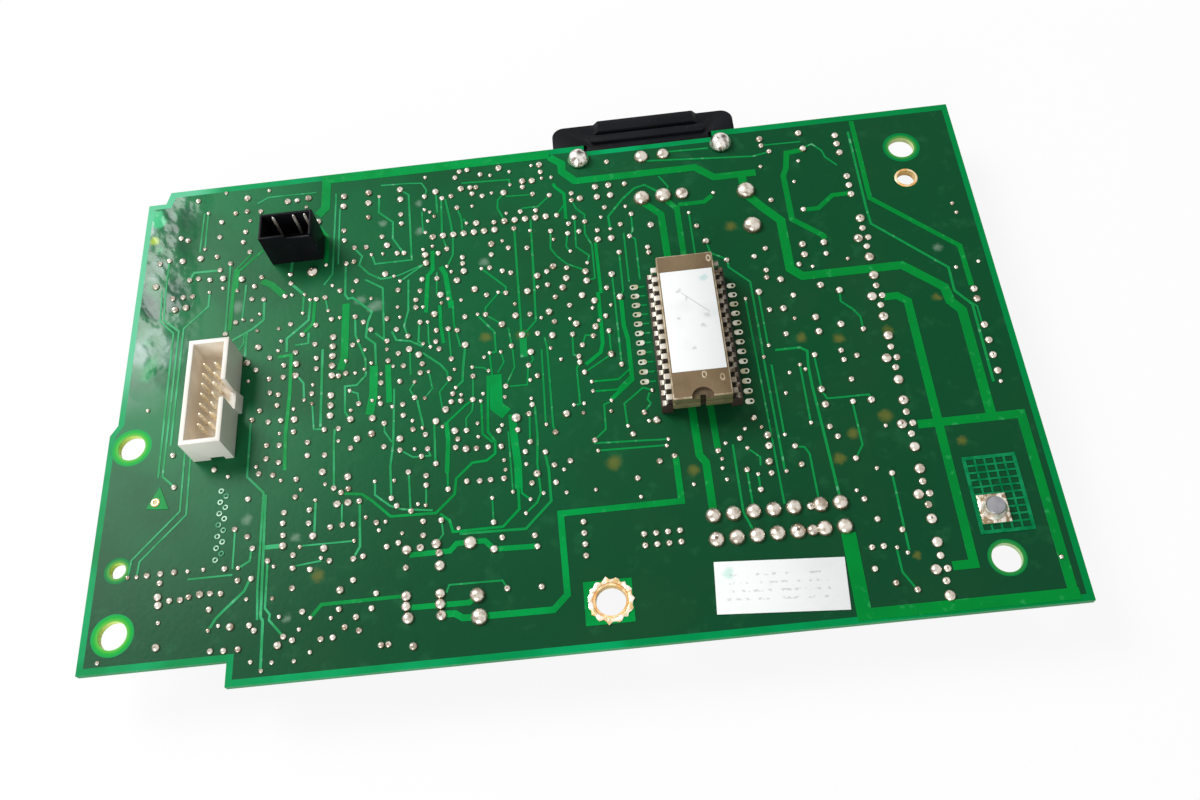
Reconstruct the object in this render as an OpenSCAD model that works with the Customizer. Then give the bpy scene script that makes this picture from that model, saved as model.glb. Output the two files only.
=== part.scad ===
// Through-hole circuit board, solder side up, standing on the parts of its component side.
// Board frame: origin at the near left corner of the solder face, Z up out of that face.

/* [Board] */
// Width of the board along X
board_w = 205; // [190:1:230]
// Depth of the board along Y
board_d = 129; // [120:1:150]
// Thickness of the laminate
board_t = 1.6; // [0.8:0.1:3.2]
// Set-back of the near edge at the left
step_d = 5.3; // [3:0.1:6]
// Length of that set-back along X
step_w = 31.4; // [20:0.1:34]
// Set-back of the left edge in its far half
side_d = 1.6; // [0.5:0.1:2.5]
// Width of the notch at the far left corner
notch_w = 7; // [4:0.5:9]
// Depth of the notch at the far left corner
notch_d = 3.5; // [2:0.5:5]
// Copper-free border along the edges
edge_gap = 1.4; // [0.8:0.1:1.8]
// Thickness of the dark field over the inner plane
field_t = 0.1; // [0.05:0.05:0.3]

/* [Copper and solder] */
// Thickness of the copper artwork
copper_t = 0.07; // [0.03:0.01:0.2]
// Radius of a via or thin wire joint
small_r = 0.52; // [0.4:0.02:0.6]
// Radius of a component lead joint
mid_r = 0.7; // [0.6:0.02:0.75]
// Radius of a thick lead joint
large_r = 0.86; // [0.8:0.02:0.95]
// Radius of a power connector joint
power_r = 1.5; // [1.1:0.05:1.8]
// Height of a joint as a share of its radius
joint_rise = 0.95; // [0.6:0.05:1.3]
// Radius of the two peg joints of the edge connector
peg_r = 2.6; // [2:0.1:3]
// Height of the two peg joints
peg_h = 3; // [1.5:0.1:4]

/* [Mounting holes] */
// Diameter of the large clearance holes
hole_d = 6.2; // [4:0.1:6.6]
// Diameter of the locating hole at the left
locator_d = 3.6; // [2:0.1:5]
// Diameter of the copper-lined hole at the far right
lined_d = 4.2; // [3:0.1:5.2]
// Width of the plane-free ring round a hole
ring_w = 1.5; // [0.8:0.1:2]

/* [Memory chip and socket] */
// Number of legs along each side
chip_rows = 14; // [8:1:14]
// Pitch of the legs
pitch = 2.54; // [2:0.02:2.54]
// Distance between the two rows of legs
chip_span = 15.24; // [13:0.02:16]
// Width of the ceramic body
chip_w = 12.9; // [11:0.1:13.6]
// Thickness of the ceramic body
chip_t = 4.6; // [3:0.1:5]
// Height of the socket rails
socket_h = 3.4; // [2.5:0.1:5]
// Gap between the socket rails and the body
chip_lift = 0.5; // [0.3:0.1:2]
// Width of the label on the chip
chip_label_w = 11.8; // [6:0.1:11.9]
// Length of the label on the chip
chip_label_l = 26; // [10:0.5:27]

/* [White box header] */
// Width of the shell along X
box_w = 9.2; // [8.4:0.1:9.6]
// Length of the shell along Y
box_l = 26.4; // [24:0.1:28]
// Height of the shell
box_h = 8.8; // [7:0.1:12]
// Wall of the shell
box_wall = 1.1; // [0.8:0.1:1.5]
// Thickness of the shell floor
box_floor = 2.2; // [1.5:0.1:3]
// Width of the key slot
key_w = 4.5; // [3:0.1:7]

/* [Black shrouded header] */
// Width of the shroud along X
shroud_w = 12.6; // [11.5:0.1:13]
// Depth of the shroud along Y
shroud_l = 7.3; // [6:0.1:8]
// Height of the shroud
shroud_h = 10.5; // [8:0.1:14]
// Wall of the shroud
shroud_wall = 0.6; // [0.5:0.1:1.2]

/* [Edge connector] */
// Width of the housing along X
conn_w = 46.2; // [42:0.1:50]
// Overhang of the housing beyond the board edge
conn_over = 7; // [4:0.1:10]
// Length of the housing under the board
conn_in = 9; // [6:0.1:12]
// Depth of the recess in the board edge
recess_d = 2; // [1:0.1:3]
// Width of the recess in the board edge
recess_w = 32.5; // [28:0.1:36]

/* [Component side] */
// Height of the tallest parts, on which the board stands
stand_h = 12; // [10:0.5:20]
// Pitch of the power connector cells
cell_pitch = 4.2; // [4:0.1:4.4]
// Pitch of the six output drivers along Y
driver_pitch = 16.4; // [15.5:0.1:16.8]
// Diameter of the large electrolytic capacitor
cap_d = 10; // [8:0.1:12]
// Diameter of the small electrolytic capacitors
small_cap_d = 8; // [6:0.1:8]

/* [Paper label] */
// Length of the paper label
paper_l = 26.5; // [15:0.5:27]
// Width of the paper label
paper_w = 11; // [6:0.5:12]

/* [Hidden] */
$fn = 48;

// The layout was drawn for a board of this size, and its places spread with the board
art = [205, 129];
// Place on the board of a point of the layout
function at(p) = [p[0] * board_w / art[0], p[1] * board_d / art[1]];
under = -board_t;
eps = 0.01;

// Left edge: where its step begins and ends along Y
side_step = [at([0, 60])[1], at([0, 62.5])[1]];

// Edge connector along X, and its two pegs from its ends
conn_x = at([105.6, 0])[0];
recess_x = conn_x + 7.8;
peg_in = [6.2, 4.2];
peg_y = board_d - 4.5;

// Holes of the layout as [x, y, diameter, share of the full ring width]; the last two have a land
layout_holes = [
    [5.5, 56.5, hole_d, 1], [6.7, 13.1, hole_d, 1], [6, 27.3, locator_d, 0.75], [191.3, 117, hole_d, 0.9],
    [190.4, 10.4, hole_d, 0.55], [110.3, 9.8, hole_d, 1], [190.5, 107.5, lined_d, 0.4]
];
holes = [for (h = layout_holes) [at(h)[0], at(h)[1], h[2], h[3]]];
earth_hole = holes[5];
lined_hole = holes[6];
earth_square = [10, 9.2];
earth_shift = [-0.4, -0.2];

// Memory chip
chip_x = at([134, 68])[0];
chip_y = at([134, 68])[1];
chip_l = chip_rows * pitch + 1.4;
rail_w = 2.6;
rail_l = chip_l - 2.4;
bar_w = 2;
chip_z = socket_h + chip_lift;
// Scoop and slot at the near end of the body, and the press marks from that end
scoop_r = 2.5;
scoop_in = 0.7;
end_slot = [1.2, 0.8];
press_marks = [[0.9, 5.5], [4.7, 4.3]];
leg_t = 0.3;
leg_w = 1.3;
leg_out = chip_span / 2 - chip_w / 2 + leg_t / 2;
pad_span = 22.4;
pad_x = chip_x - 0.7;
pad_l = 2;
pad_w = 1.3;
pad_t = 0.25;
pad_eye_d = 0.7;
stub_l = 1.5;
stub_w = 0.4;
// Legs that have an open pad beside them, on the left and on the right
pad_rows = [[3, chip_rows - 1], [0, chip_rows - 2]];

// Headers on the solder side
box_at = at([20.3, 51.2]);
box_pins_n = 7;
pin_w = 0.64;
// Distance of the pin ends below the rims of the two headers
box_pin_low = 1.5;
shroud_pin_low = 0.3;
shroud_at = at([35, 102.7]);
shroud_floor = 3;
// Flat pins in front of the far wall: places from the shroud's middle, thickness, distance from the wall
shroud_pins_x = [-3.2, 1.7, 4.4];
shroud_pin_t = 0.4;
shroud_pin_gap = 0.1;

// Paper label
paper_t = 0.12;
paper_turn = -3.7;

// Output drivers
driver_n = 6;
driver_first = at([177.4, 9.4]);
driver_body = [4.8, 12];
driver_chamfer = 1;
driver_tab = [1.3, 9.6];
driver_tab_hole_d = 3.2;

// Lands of the two lined holes, open rings, test pad
land_gap = 0.3;
land_w = 0.65;
land_t = 0.25;
ring_at = at([27.2, 27.4]);
ring_n = 13;
ring_step = [1.2, 1.33];
ring_r = 0.62;
ring_eye_r = 0.33;
ring_t = 0.15;
test_t = 0.12;
test_eye_r = 0.7;

// Hatched earth pad
hatch_at = at([186.4, 15.7]);
hatch_cols = 5;
hatch_rows = 10;
hatch_cell = [1.6, 1.2];
hatch_line = 0.42;
hatch_frame = 0.75;
hatch_t = 0.15;
stud_r = 2;
stud_h = 2.1;

// Component side: sizes and places of the bodies that the joints belong to
power_end = 0.6;
power_edge = 2.4;
well_w = 3.2;
well_floor = 3;
strip_t = 2.5;
strip_pin_l = 6;
filter_at = at([123.4, 105.8]);
filter_size = [16, 9, 9];
film_at = at([148.9, 97.2]);
film_size = [6, 13, 11];
transistor_at = [at([176.4, 120.3]), at([176.4, 107.2])];
transistor_d = 4.8;
row_edge = [1.6, 1.8];
row_size = [31.4, 6, 8.5];
row_wall = 1.2;
bung_t = 0.4;
// Capacitors as [x, y, diameter]
cans = [
    concat(at([83.2, 11.5]), cap_d),
    concat(at([13.1, 92.8]), small_cap_d),
    concat(at([33.8, 22.4]), small_cap_d)
];
network_edge = [1.2, 1.6];
network_size = [2.4, 24, 5];
// Dual-in-line packages as [middle, size, legs a side, axis across the rows]
dips = [[at([85.4, 43.3]), [9.6, 6.4], 4, 1], [at([71.9, 12.7]), [6.4, 7.6], 3, 0]];
dip_t = 3.4;
dip_gap = 0.6;
dip_leg = [1, 0.5];
dip_leg_l = 2.4;

// Joints in rows and grids: big power rows, row connector, pin strips, drivers
power_at = at([133.2, 20.5]);
power_cells = [5, 2];
power_gap = 1.3;
power_row_gap = 5.3;
power_starts = [power_at[0], power_at[0] + power_cells[0] * cell_pitch + power_gap];
power_cols = [for (k = [0, 1], i = [0:power_cells[k] - 1]) power_starts[k] + i * cell_pitch];
power_rows = [power_at[1], power_at[1] + power_row_gap];
row_at = at([74.6, 105.7]);
row_socket_near = [for (i = [0:6]) row_at + [i * pitch, 0]];
row_socket_far = [for (i = [7:11]) row_at + [i * pitch, 2.3]];
strip_pitch = 2.5;
strip_a = [for (i = [0:3], j = [0:1]) at([118.4, 20.8]) + [i, j] * strip_pitch];
strip_b = [for (i = [0:3]) at([106, 19.9]) + [0, i] * strip_pitch];
network_pitch = 2.6;
network_at = at([50.8, 59.2]);
network = [for (i = [0:8]) if (i != 3) network_at + [0, i * network_pitch]];
side_row = [for (y = [52.6, 56.6, 60.4, 64.4, 71.4, 74.1]) at([198.9, y])];

// Free joints of the artwork, read on a millimetre grid from the near left corner
small_free = [
    [8.4, 25.5], [10.4, 25.4], [21.4, 25.5], [24.8, 25.5], [32.3, 25.1], [16.2, 14.8], [4.3, 7.6],
    [27, 12.1], [29.1, 12.9], [34.6, 18], [36.4, 4.6], [40.8, 4.1], [38.7, 2.6], [45.4, 3.9],
    [48.6, 5.4], [46.1, 10.4], [41.8, 13.5], [48.4, 12.6], [40.1, 17.6], [40, 24.6], [50.1, 25.4],
    [45.4, 28.4], [48.3, 38.8], [50.3, 42.4], [45, 41.7], [40.4, 44.4], [28.4, 46.7], [34.6, 48.4],
    [39.4, 56.1], [42.3, 61.9], [46.5, 62.8], [44.6, 64], [46.5, 67.7], [8.2, 65.6], [37.8, 77.9],
    [38.4, 80.4], [49.3, 87.6], [37.6, 84], [43.2, 87.6], [32.4, 84.1], [31.2, 70.5], [28.8, 87.6],
    [30.9, 87.2], [32.7, 88.7], [21.5, 126.8], [32.7, 126], [17.4, 120.9], [28.4, 117.1],
    [17.5, 109.8], [23.1, 97.4], [19.8, 96.6], [26.7, 96.2], [48.3, 100.9], [40.3, 93.2],
    [43.4, 92.9], [44.8, 91.2], [50.1, 94.6], [42.6, 119.3], [61.3, 41.8], [65.6, 41.5],
    [70.8, 35.4], [72.5, 34.9], [90, 41.3], [89.8, 43.6], [94.6, 42.1], [91.4, 35.9], [86.9, 35],
    [98, 34.9], [95.1, 33.8], [94, 30.7], [79.5, 28.9], [67.4, 29.1], [52.7, 12.1], [57.1, 28.5],
    [63.8, 32.1], [59.5, 33.6], [62.4, 30.3], [52.2, 85.2], [66.6, 83.5], [66, 86.4], [72.1, 85.6],
    [76.5, 86.2], [78.1, 87.2], [81.2, 86.4], [85, 81.9], [93.9, 83.6], [99.9, 79], [73.2, 81.3],
    [63.6, 75], [56.8, 78.2], [58.4, 75.6], [54, 73.1], [56.3, 69.6], [58.4, 70.3], [60, 71.8],
    [62.3, 68.7], [65.1, 70.3], [72.1, 75.5], [73.8, 74.4], [79.3, 67.7], [83.4, 67.8],
    [87.1, 66.4], [86.2, 70.1], [87.5, 71.1], [90.1, 71], [101.6, 70.6], [96.5, 62.8],
    [90.6, 59.2], [96.5, 58.1], [99.5, 51.2], [89.7, 52.2], [84.3, 49.9], [84.2, 53.3],
    [85.1, 58.8], [85.7, 60.6], [80.7, 60.9], [79.5, 62.9], [76.4, 53.4], [71.9, 53.6],
    [69.6, 55.7], [70.1, 48.6], [52.9, 52.6], [55.5, 60], [55.1, 65.1], [62, 62.5], [60.4, 61.9],
    [70.1, 65.6], [72.4, 61.1], [73.3, 67.9], [65, 59.8], [61.1, 120.1], [59.5, 102.4],
    [62.3, 102.3], [72.2, 102.2], [74.5, 102.9], [78, 96.5], [79, 94.8], [65.1, 95.3], [66.6, 93.7],
    [55.1, 92.4], [59.6, 89.7], [90.1, 87.4], [99.5, 87.7], [86.3, 94.7], [91.6, 102.2],
    [98.5, 104.3], [92.9, 110.4], [84.5, 113.8], [89.5, 117.2], [94.2, 119.1], [72.8, 124.5],
    [89.3, 122.8], [94.2, 123.3], [99.8, 124.4], [72.6, 114.3], [73.9, 113.4], [75, 111.9],
    [73.4, 110.7], [72.8, 107.3], [83, 108.7], [168.6, 32.6], [163.5, 28.1], [169.2, 14.8],
    [171.1, 13.5], [172.4, 42.2], [164, 84.9], [172.4, 86], [157.6, 71.4], [156.8, 59.3],
    [157.8, 58], [154.2, 57.6], [152.6, 52.6], [156.8, 44.8], [165.8, 116.3], [156.4, 115.9],
    [163.8, 110.1], [122.2, 108.4], [116, 106], [102.2, 120], [104.6, 120], [104.1, 100.9],
    [107.9, 96.9], [118, 102.2], [137.3, 104.3], [143.9, 109.5], [111.7, 93], [112, 80.1],
    [116.3, 80.4], [106.6, 77.9], [113.2, 76.6], [103.8, 67.3], [110.3, 60.7], [110.4, 58.3],
    [105.9, 55.3], [108.2, 55.4], [114.3, 55.4], [114, 52.8], [123.6, 56.9], [107.9, 53.1],
    [117.4, 48.7], [110.4, 43.5], [125.8, 44.5], [125.3, 43], [147.3, 78.1], [149.2, 62.2],
    [142.5, 45], [146.1, 45], [150.7, 65.1], [150.8, 42.6], [122.1, 49.4], [102.7, 39.9],
    [102.9, 34.5], [109.2, 34.4], [118.6, 31.7], [136.7, 38.5], [136.5, 36.3], [137.1, 33.6],
    [137.9, 42.1], [142.4, 40.4], [143.8, 34.1], [149.8, 34.1], [130, 33.3]
];
mid_free = [
    [12.6, 25.5], [15.5, 25.6], [18.5, 25.6], [29.4, 25.2], [15.6, 23.5], [18.1, 19.4],
    [20.4, 19.3], [22.2, 19.8], [26.7, 20.1], [29, 19.8], [26.8, 16.6], [30.9, 34], [33.8, 32],
    [33.3, 40.8], [35.1, 29.2], [32.4, 22.3], [35.3, 22.4], [35.6, 12.3], [36.7, 11.1],
    [27.8, 7.7], [30.6, 7.5], [33.6, 7.5], [42.9, 9.2], [44.8, 8.3], [50.7, 7.9], [46.6, 14.1],
    [44.2, 19.4], [38.6, 26], [44, 26.7], [44.1, 23.8], [47.8, 23.1], [41.6, 31.4], [41.4, 34.2],
    [41.5, 36.7], [47.1, 36.7], [47.1, 33.6], [43.8, 40.1], [43.8, 44.3], [16.4, 45.5],
    [15.3, 53.4], [25.1, 48.7], [35.3, 46.6], [38.5, 45.9], [39.6, 48.9], [36.7, 50.1],
    [36.6, 53.4], [39.5, 53.1], [42.6, 56.1], [39.5, 59.3], [36.6, 59.3], [32.8, 60.2],
    [34.4, 62.4], [38.4, 63.3], [38.5, 66.1], [36.5, 66.8], [46.3, 65.4], [49.6, 55.8],
    [45.9, 53.1], [46, 49.8], [49.9, 49.5], [36.1, 70.5], [39.4, 70.6], [39.4, 73.7],
    [47.1, 71.9], [47, 74.7], [46.5, 78.6], [42, 76.9], [35.9, 76.2], [43.4, 81.6], [46.5, 83.8],
    [50.2, 85], [40.4, 84.9], [32.8, 73.3], [24.7, 84.1], [27, 87.1], [14.4, 125.2], [24.5, 119.9],
    [27.4, 120.1], [30.9, 119.6], [40.1, 121.8], [21.1, 117.6], [27.5, 113.7], [27.1, 110.6],
    [21, 113], [12.9, 113], [20.8, 107], [29, 107.4], [24.4, 104.5], [21.9, 102.9], [14.5, 100.9],
    [16.7, 101], [19.6, 100.3], [15.7, 96], [13.4, 96], [10.8, 96], [33.4, 92.8], [30.5, 93.3],
    [30.9, 96.9], [32.5, 99.4], [39.6, 99.3], [39.9, 96.6], [38.6, 93.1], [46.3, 91.2],
    [48.4, 91.4], [6.5, 106.8], [8.8, 107.4], [11.1, 113.9], [52.3, 41.2], [53.9, 40], [55.5, 40.7],
    [58, 37.5], [68.7, 43.2], [65, 37.4], [66.2, 35.5], [69.3, 33.9], [72.6, 39.6], [72.6, 41.9],
    [74.8, 44.5], [77.4, 38.1], [81.5, 39.5], [84.3, 39.3], [86.7, 39.3], [89.6, 39.3],
    [98.9, 44.5], [95.6, 37.5], [87, 29.4], [75.8, 31.1], [71.9, 31.3], [71.9, 28.1], [66.6, 27],
    [64.1, 26.4], [88.7, 25.8], [95.6, 25.5], [96, 23], [68.2, 21.3], [57.1, 19.8], [62, 16.4],
    [61.1, 13.3], [54.3, 13.8], [57.9, 11.8], [55.6, 9.9], [53.2, 8], [58.6, 8.9], [89.3, 14.6],
    [96.4, 14.2], [63.2, 5.4], [64.7, 5.4], [51.9, 24.6], [51.8, 32.2], [54.4, 32.4], [56.8, 32.3],
    [61.8, 32.1], [57, 24.5], [59.1, 24.8], [55.9, 85], [57.9, 83.2], [59.7, 80.9], [63.5, 83.4],
    [70.4, 85.7], [70.4, 87.8], [87.3, 87], [91.9, 87], [82, 81.6], [86.9, 81.6], [97.3, 80.3],
    [71.4, 81.4], [65.8, 80.2], [68.5, 78], [63.6, 77.3], [55.5, 77.2], [54.1, 69.8], [52.4, 69.3],
    [62.3, 66.3], [63.9, 71.9], [67.5, 70.1], [66.3, 73.6], [71.9, 70.1], [75.8, 73.6],
    [75.1, 75.7], [75.2, 78.7], [78, 78.8], [80.1, 78.1], [78.6, 70.6], [78.1, 65.4], [83.5, 65.4],
    [92.6, 72.3], [98.8, 74.9], [102.9, 77.6], [96.3, 66.7], [98.2, 63.7], [90.9, 61.9],
    [96.6, 56.5], [95.8, 54.3], [93.1, 50.6], [101.4, 49.1], [95.7, 47.4], [94.5, 45.1],
    [89.3, 47], [88.9, 50.9], [86.4, 47.2], [83.8, 47.2], [79.2, 47.9], [79.7, 49.9], [81.7, 51.8],
    [83.3, 59.4], [80.6, 59.4], [78.4, 59.4], [78.8, 61.4], [72.5, 51.9], [69.7, 53.5],
    [67.5, 57.3], [66.8, 48.7], [73, 48.3], [71.6, 46.6], [63.2, 50], [63.2, 55.8], [55.7, 50.5],
    [52.8, 55.7], [57.3, 61.5], [62.3, 60.9], [66.7, 66.1], [70.1, 61.5], [71.4, 67.8],
    [67.4, 60.1], [58.5, 113.9], [66.6, 113.7], [66.8, 110.8], [52.4, 110.7], [52.6, 107.6],
    [62, 107.5], [55.2, 105.1], [58.1, 104.9], [53.3, 100.6], [55.2, 100.9], [65.8, 102],
    [67.5, 101.8], [75.9, 100.6], [78, 101.6], [55.9, 95.2], [52, 92.9], [66.1, 91.2],
    [71.9, 93.5], [71.4, 90.3], [75.5, 93.3], [101.9, 88], [101.9, 91.8], [91.3, 93.4],
    [93.3, 92.6], [88.3, 94.7], [81.8, 96.8], [81.8, 98.6], [88.8, 98.5], [93, 99.9], [97.5, 99.3],
    [94.6, 105.5], [89.8, 108], [96.4, 110.4], [100.2, 110.2], [80.7, 113.8], [87.1, 116.6],
    [97.3, 117.9], [102, 122], [99.7, 115.4], [84.6, 117.6], [84.1, 119.6], [85.6, 119.5],
    [79.3, 117.6], [77, 117.3], [72.6, 118.4], [80.4, 123.3], [81.5, 125.1], [83.5, 125.3],
    [86.8, 123.4], [160.6, 43.4], [161.9, 40.9], [152.5, 39.7], [153.2, 35.3], [164.7, 35.4],
    [171.5, 31.1], [164.7, 26], [166.5, 21.3], [171, 18.5], [164.2, 15.4], [166.6, 15.4],
    [163.9, 10.8], [167.5, 7.5], [171.4, 5.7], [153.2, 85.3], [153, 83.3], [161, 85.9],
    [158.3, 77.6], [152.3, 74.4], [172.3, 66.7], [160.4, 61.4], [166.4, 61.8], [166.6, 59.4],
    [169.6, 60.1], [167.3, 54.3], [155, 67.6], [166.6, 48.8], [167.7, 88.1], [157.5, 122.4],
    [159.2, 120.3], [157.4, 105.3], [164.6, 101.5], [118.8, 122.9], [103.8, 114.4], [109.3, 114.2],
    [109.2, 112.1], [122.6, 115.3], [117.1, 108.8], [123.4, 105.9], [105.3, 108], [109.5, 106.8],
    [108, 105.1], [112, 105.1], [103.5, 103.5], [107.6, 102.2], [110.4, 102.4], [114.8, 102.2],
    [120.5, 103.2], [122.4, 99.4], [138.7, 100.1], [119.5, 95], [126.4, 95.6], [126.5, 94],
    [106.7, 92.2], [115.7, 85.3], [144.5, 89.4], [151, 89.5], [153.9, 91.4], [103.5, 84.3],
    [106.7, 81.6], [114.9, 77.6], [106.9, 73.6], [111.6, 72.6], [115.3, 73.5], [108.9, 70.5],
    [108, 66], [107.9, 67.6], [108.9, 63.3], [117.4, 64.3], [121.3, 51.6], [118.3, 46.6],
    [109.9, 46.1], [144.8, 47.4], [141.1, 42.9], [100.7, 41.2], [100.8, 37.1], [123.4, 39.5],
    [126.7, 40.4], [136.1, 40.5], [141.6, 35.4], [143.8, 30.5], [146.6, 34], [118.3, 36.1],
    [104.2, 41.8]
];
large_free = [
    [24.5, 20.1], [15.5, 20.4], [15.8, 18.6], [16.3, 9.6], [31.6, 12.4], [41.8, 7.5], [41.7, 29],
    [50.6, 27.5], [48.1, 30.6], [42.6, 59.2], [49.6, 45.4], [42.3, 70.7], [42.3, 73.7], [33, 79.4],
    [30.6, 75.5], [27.2, 124.3], [37.7, 121.8], [43, 122.1], [45.8, 114.3], [16.7, 107],
    [12.2, 106.8], [6.2, 100], [22.9, 100.2], [27.6, 99.4], [11.7, 92.6], [14.4, 92.9], [55.3, 43.6],
    [53.1, 37.4], [55.5, 37.5], [71.3, 25.4], [75.3, 23.8], [86.9, 23.4], [54.4, 17.9], [69.8, 4.5],
    [96.8, 39.6], [74.8, 83.2], [97, 86.8], [93.9, 80.4], [101.8, 80.4], [68.8, 74.4], [71.1, 72.6],
    [81.9, 73.9], [90.6, 78.4], [95.2, 74.9], [102.2, 73.9], [97, 70.1], [81.5, 47.3], [79.1, 52],
    [77.1, 57.6], [74.9, 54.9], [66.8, 51.5], [60.4, 53.5], [60.5, 57.4], [57.1, 52.6], [55.5, 57.7],
    [52.1, 121.3], [58.4, 121.6], [66.4, 121.5], [52.1, 118.2], [58.4, 118.4], [66.5, 118.4],
    [63.3, 104.7], [72.7, 100.5], [72.9, 98.1], [62.9, 96.2], [76.3, 88.5], [80.3, 92.1], [84.5, 89],
    [99.6, 90.8], [82, 94.5], [88.9, 101.6], [85.4, 108.4], [92.5, 116.8], [97.3, 119.8],
    [99.7, 119.6], [81.8, 119.6], [75.4, 119.5], [91.5, 124.8], [101.8, 124.4], [156.1, 82.3],
    [164.9, 79.6], [168.9, 77.6], [155.5, 74.4], [162.3, 71.1], [167.6, 68.6], [162.4, 67.3],
    [160.4, 52.6], [160.6, 48.8], [170.6, 48.8], [157.4, 124.5], [167.2, 125], [167.5, 119.9],
    [162.7, 91.4], [162.7, 88.5], [167.7, 91.3], [111.3, 112.4], [115.3, 115.4], [118.6, 115.5],
    [115.5, 112.2], [118.8, 112.3], [114.7, 99.4], [118, 99.4], [127.8, 102], [140.3, 95.4],
    [103.5, 93.1], [111.1, 90.6], [106.4, 89.3], [111.2, 87.9], [117.2, 89], [105.4, 86.7],
    [109.8, 84], [118.6, 82.4], [112.6, 82.1], [107.9, 76.3], [112.3, 75], [115.3, 67.3],
    [104.1, 53.3], [123.8, 49.4], [150.6, 79.5], [147.1, 42.9], [147, 40.4], [146.5, 36.7]
];
// Heavy joints as [x, y, radius]
heavy_free = [
    [68.4, 25.2, 1], [74.7, 25.9, 1], [81.9, 25.4, 1.3], [75.4, 21, 1.05], [68.3, 15.1, 1],
    [68.3, 12.9, 0.95], [68.7, 10.4, 1.15], [75.4, 14.9, 1], [75.4, 12.7, 1.05], [75.6, 10.3, 1],
    [83.1, 13.8, 1.45], [83.4, 9.2, 1.6], [92.9, 53.6, 1], [45, 99.3, 1.2], [151.8, 109, 2],
    [151.9, 98.5, 2], [126.4, 110.3, 1.8], [131.7, 110.4, 1.8], [136.3, 110.3, 1.5],
    [127.5, 123.2, 1.6], [133, 123.3, 1.4]
];
// Joints along the right edge
right_mid = [[176, 123], [176, 120.3], [176.2, 117.5], [176.6, 110], [176.6, 107.2], [176.6, 104.5]];
right_small = [[200.8, 9.4], [196.3, 80.4], [199.5, 98.4], [199.9, 95.7], [201.6, 81.3], [198.9, 49.9]];
// One driver: joints as [x, y] from its middle
driver_large = [[0, 5.7], [-1.5, 0], [0, -5.6]];
driver_small = [[0, 2.8], [0.8, 0], [0, -2.5]];
driver_at = [for (i = [0:driver_n - 1]) driver_first + at([0, i * driver_pitch])];

small_all = concat(
    [for (p = concat(small_free, right_small)) at(p)],
    [for (d = driver_at, p = driver_small) d + p]
);
mid_all = concat(
    [for (p = concat(mid_free, right_mid)) at(p)],
    strip_a, strip_b, side_row
);
large_all = concat(
    [for (p = large_free) at(p)],
    row_socket_near, row_socket_far, network,
    [for (d = driver_at, p = driver_large) d + p]
);
heavy_all = concat(
    [for (p = heavy_free) [at(p)[0], at(p)[1], p[2]]],
    [for (x = power_cols, y = power_rows) [x, y, power_r]]
);

// Tracks of the layout as [width, points], from the near left corner
wide_tracks = [
    [2, [[104.5, 126.5], [107.4, 124], [107.4, 121.4], [110.5, 118], [140.4, 118], [144.7, 114.3],
        [155, 114.3]]],
    [2, [[151.5, 114.3], [151.5, 110]]],
    [2.2, [[151.8, 108], [155, 103.6], [158.8, 99], [158.8, 85], [161.3, 82.6], [184.3, 82.6],
        [192.5, 75.4], [193, 71.5], [195, 68.8], [195, 42]]],
    [1.4, [[167.5, 119.7], [163.4, 119.2], [162.5, 114.5], [161.5, 112.3], [161.5, 99], [167.9, 93.4],
        [168.2, 92.3]]],
    [1.2, [[164.6, 101.4], [168.2, 101.4], [172.2, 104.8], [176.6, 104.8]]],
    [1.7, [[126.9, 108.7], [130.6, 104.8], [130.8, 93.4], [132, 50.9], [132, 40], [133.2, 38],
        [133.3, 27.1]]],
    [1.4, [[132.5, 108.7], [134.6, 106], [134.7, 93.4], [135.9, 50.9], [136.1, 41]]],
    [1.2, [[135, 107.1], [141.4, 107.1], [143.5, 108.8]]],
    [1.4, [[126.9, 40.2], [127, 29.8], [101.3, 29.8], [101.6, 12], [98.6, 9.1], [80, 9.3], [78.4, 10.4],
        [76, 10.5]]],
    [1.2, [[69, 24], [77.6, 24], [79, 25.5], [85, 25.5], [86.9, 23.4], [95.6, 23.1]]],
    [1.2, [[68.5, 12.6], [81.4, 12.4], [82.8, 13.5]]],
    [0.8, [[48.4, 12.6], [50.6, 15.2], [68.3, 15.2]]],
    [3, [[160.1, 19], [160.1, 0.6]]],
    [2.4, [[158.6, 1.7], [202.4, 1.7]]],
    [1.8, [[53.6, 89], [53.6, 74], [52.8, 70.9]]],
    [1.9, [[60.6, 71], [60.6, 63.4], [59.8, 58.4]]],
    [1.3, [[63.9, 70.9], [64.3, 61]]],
    [2.9, [[88.6, 65.2], [88.6, 57], [90.8, 54.9]]],
    [1.7, [[92, 54.6], [92.2, 49], [92.8, 42], [92.7, 36.5]]],
    [1.7, [[95.4, 76], [95.4, 69]]],
    [1, [[74.5, 101.6], [74.5, 95.9], [73.3, 94.4], [72.8, 84]]],
    [1.2, [[76.5, 96.6], [77.6, 94.1], [78.8, 84.5]]],
    [1.6, [[32.6, 98.2], [34.9, 97], [38.3, 93.4]]],
    [1.6, [[26.2, 102.6], [26, 96.5]]],
    [0.9, [[25.7, 96.6], [25.7, 85]]],
    [0.9, [[46.4, 112.4], [48.4, 109.3], [48.4, 101.2]]],
    [1, [[37.4, 29.1], [41.5, 29.1]]],
    [1, [[77.2, 54.4], [77.6, 50], [77.2, 42]]],
    [1, [[118.8, 81.6], [118.8, 74.4], [119.4, 70.9], [119.4, 60.1], [114.3, 55.7]]],
    [0.9, [[113.6, 84.4], [113.6, 70.5], [112.9, 68], [109.3, 65.3]]],
    [0.8, [[114.1, 98.7], [114.3, 84]]],
    [0.8, [[105, 118], [105.4, 116.8], [107.5, 114.4], [107.5, 106.6]]]
];
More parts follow.
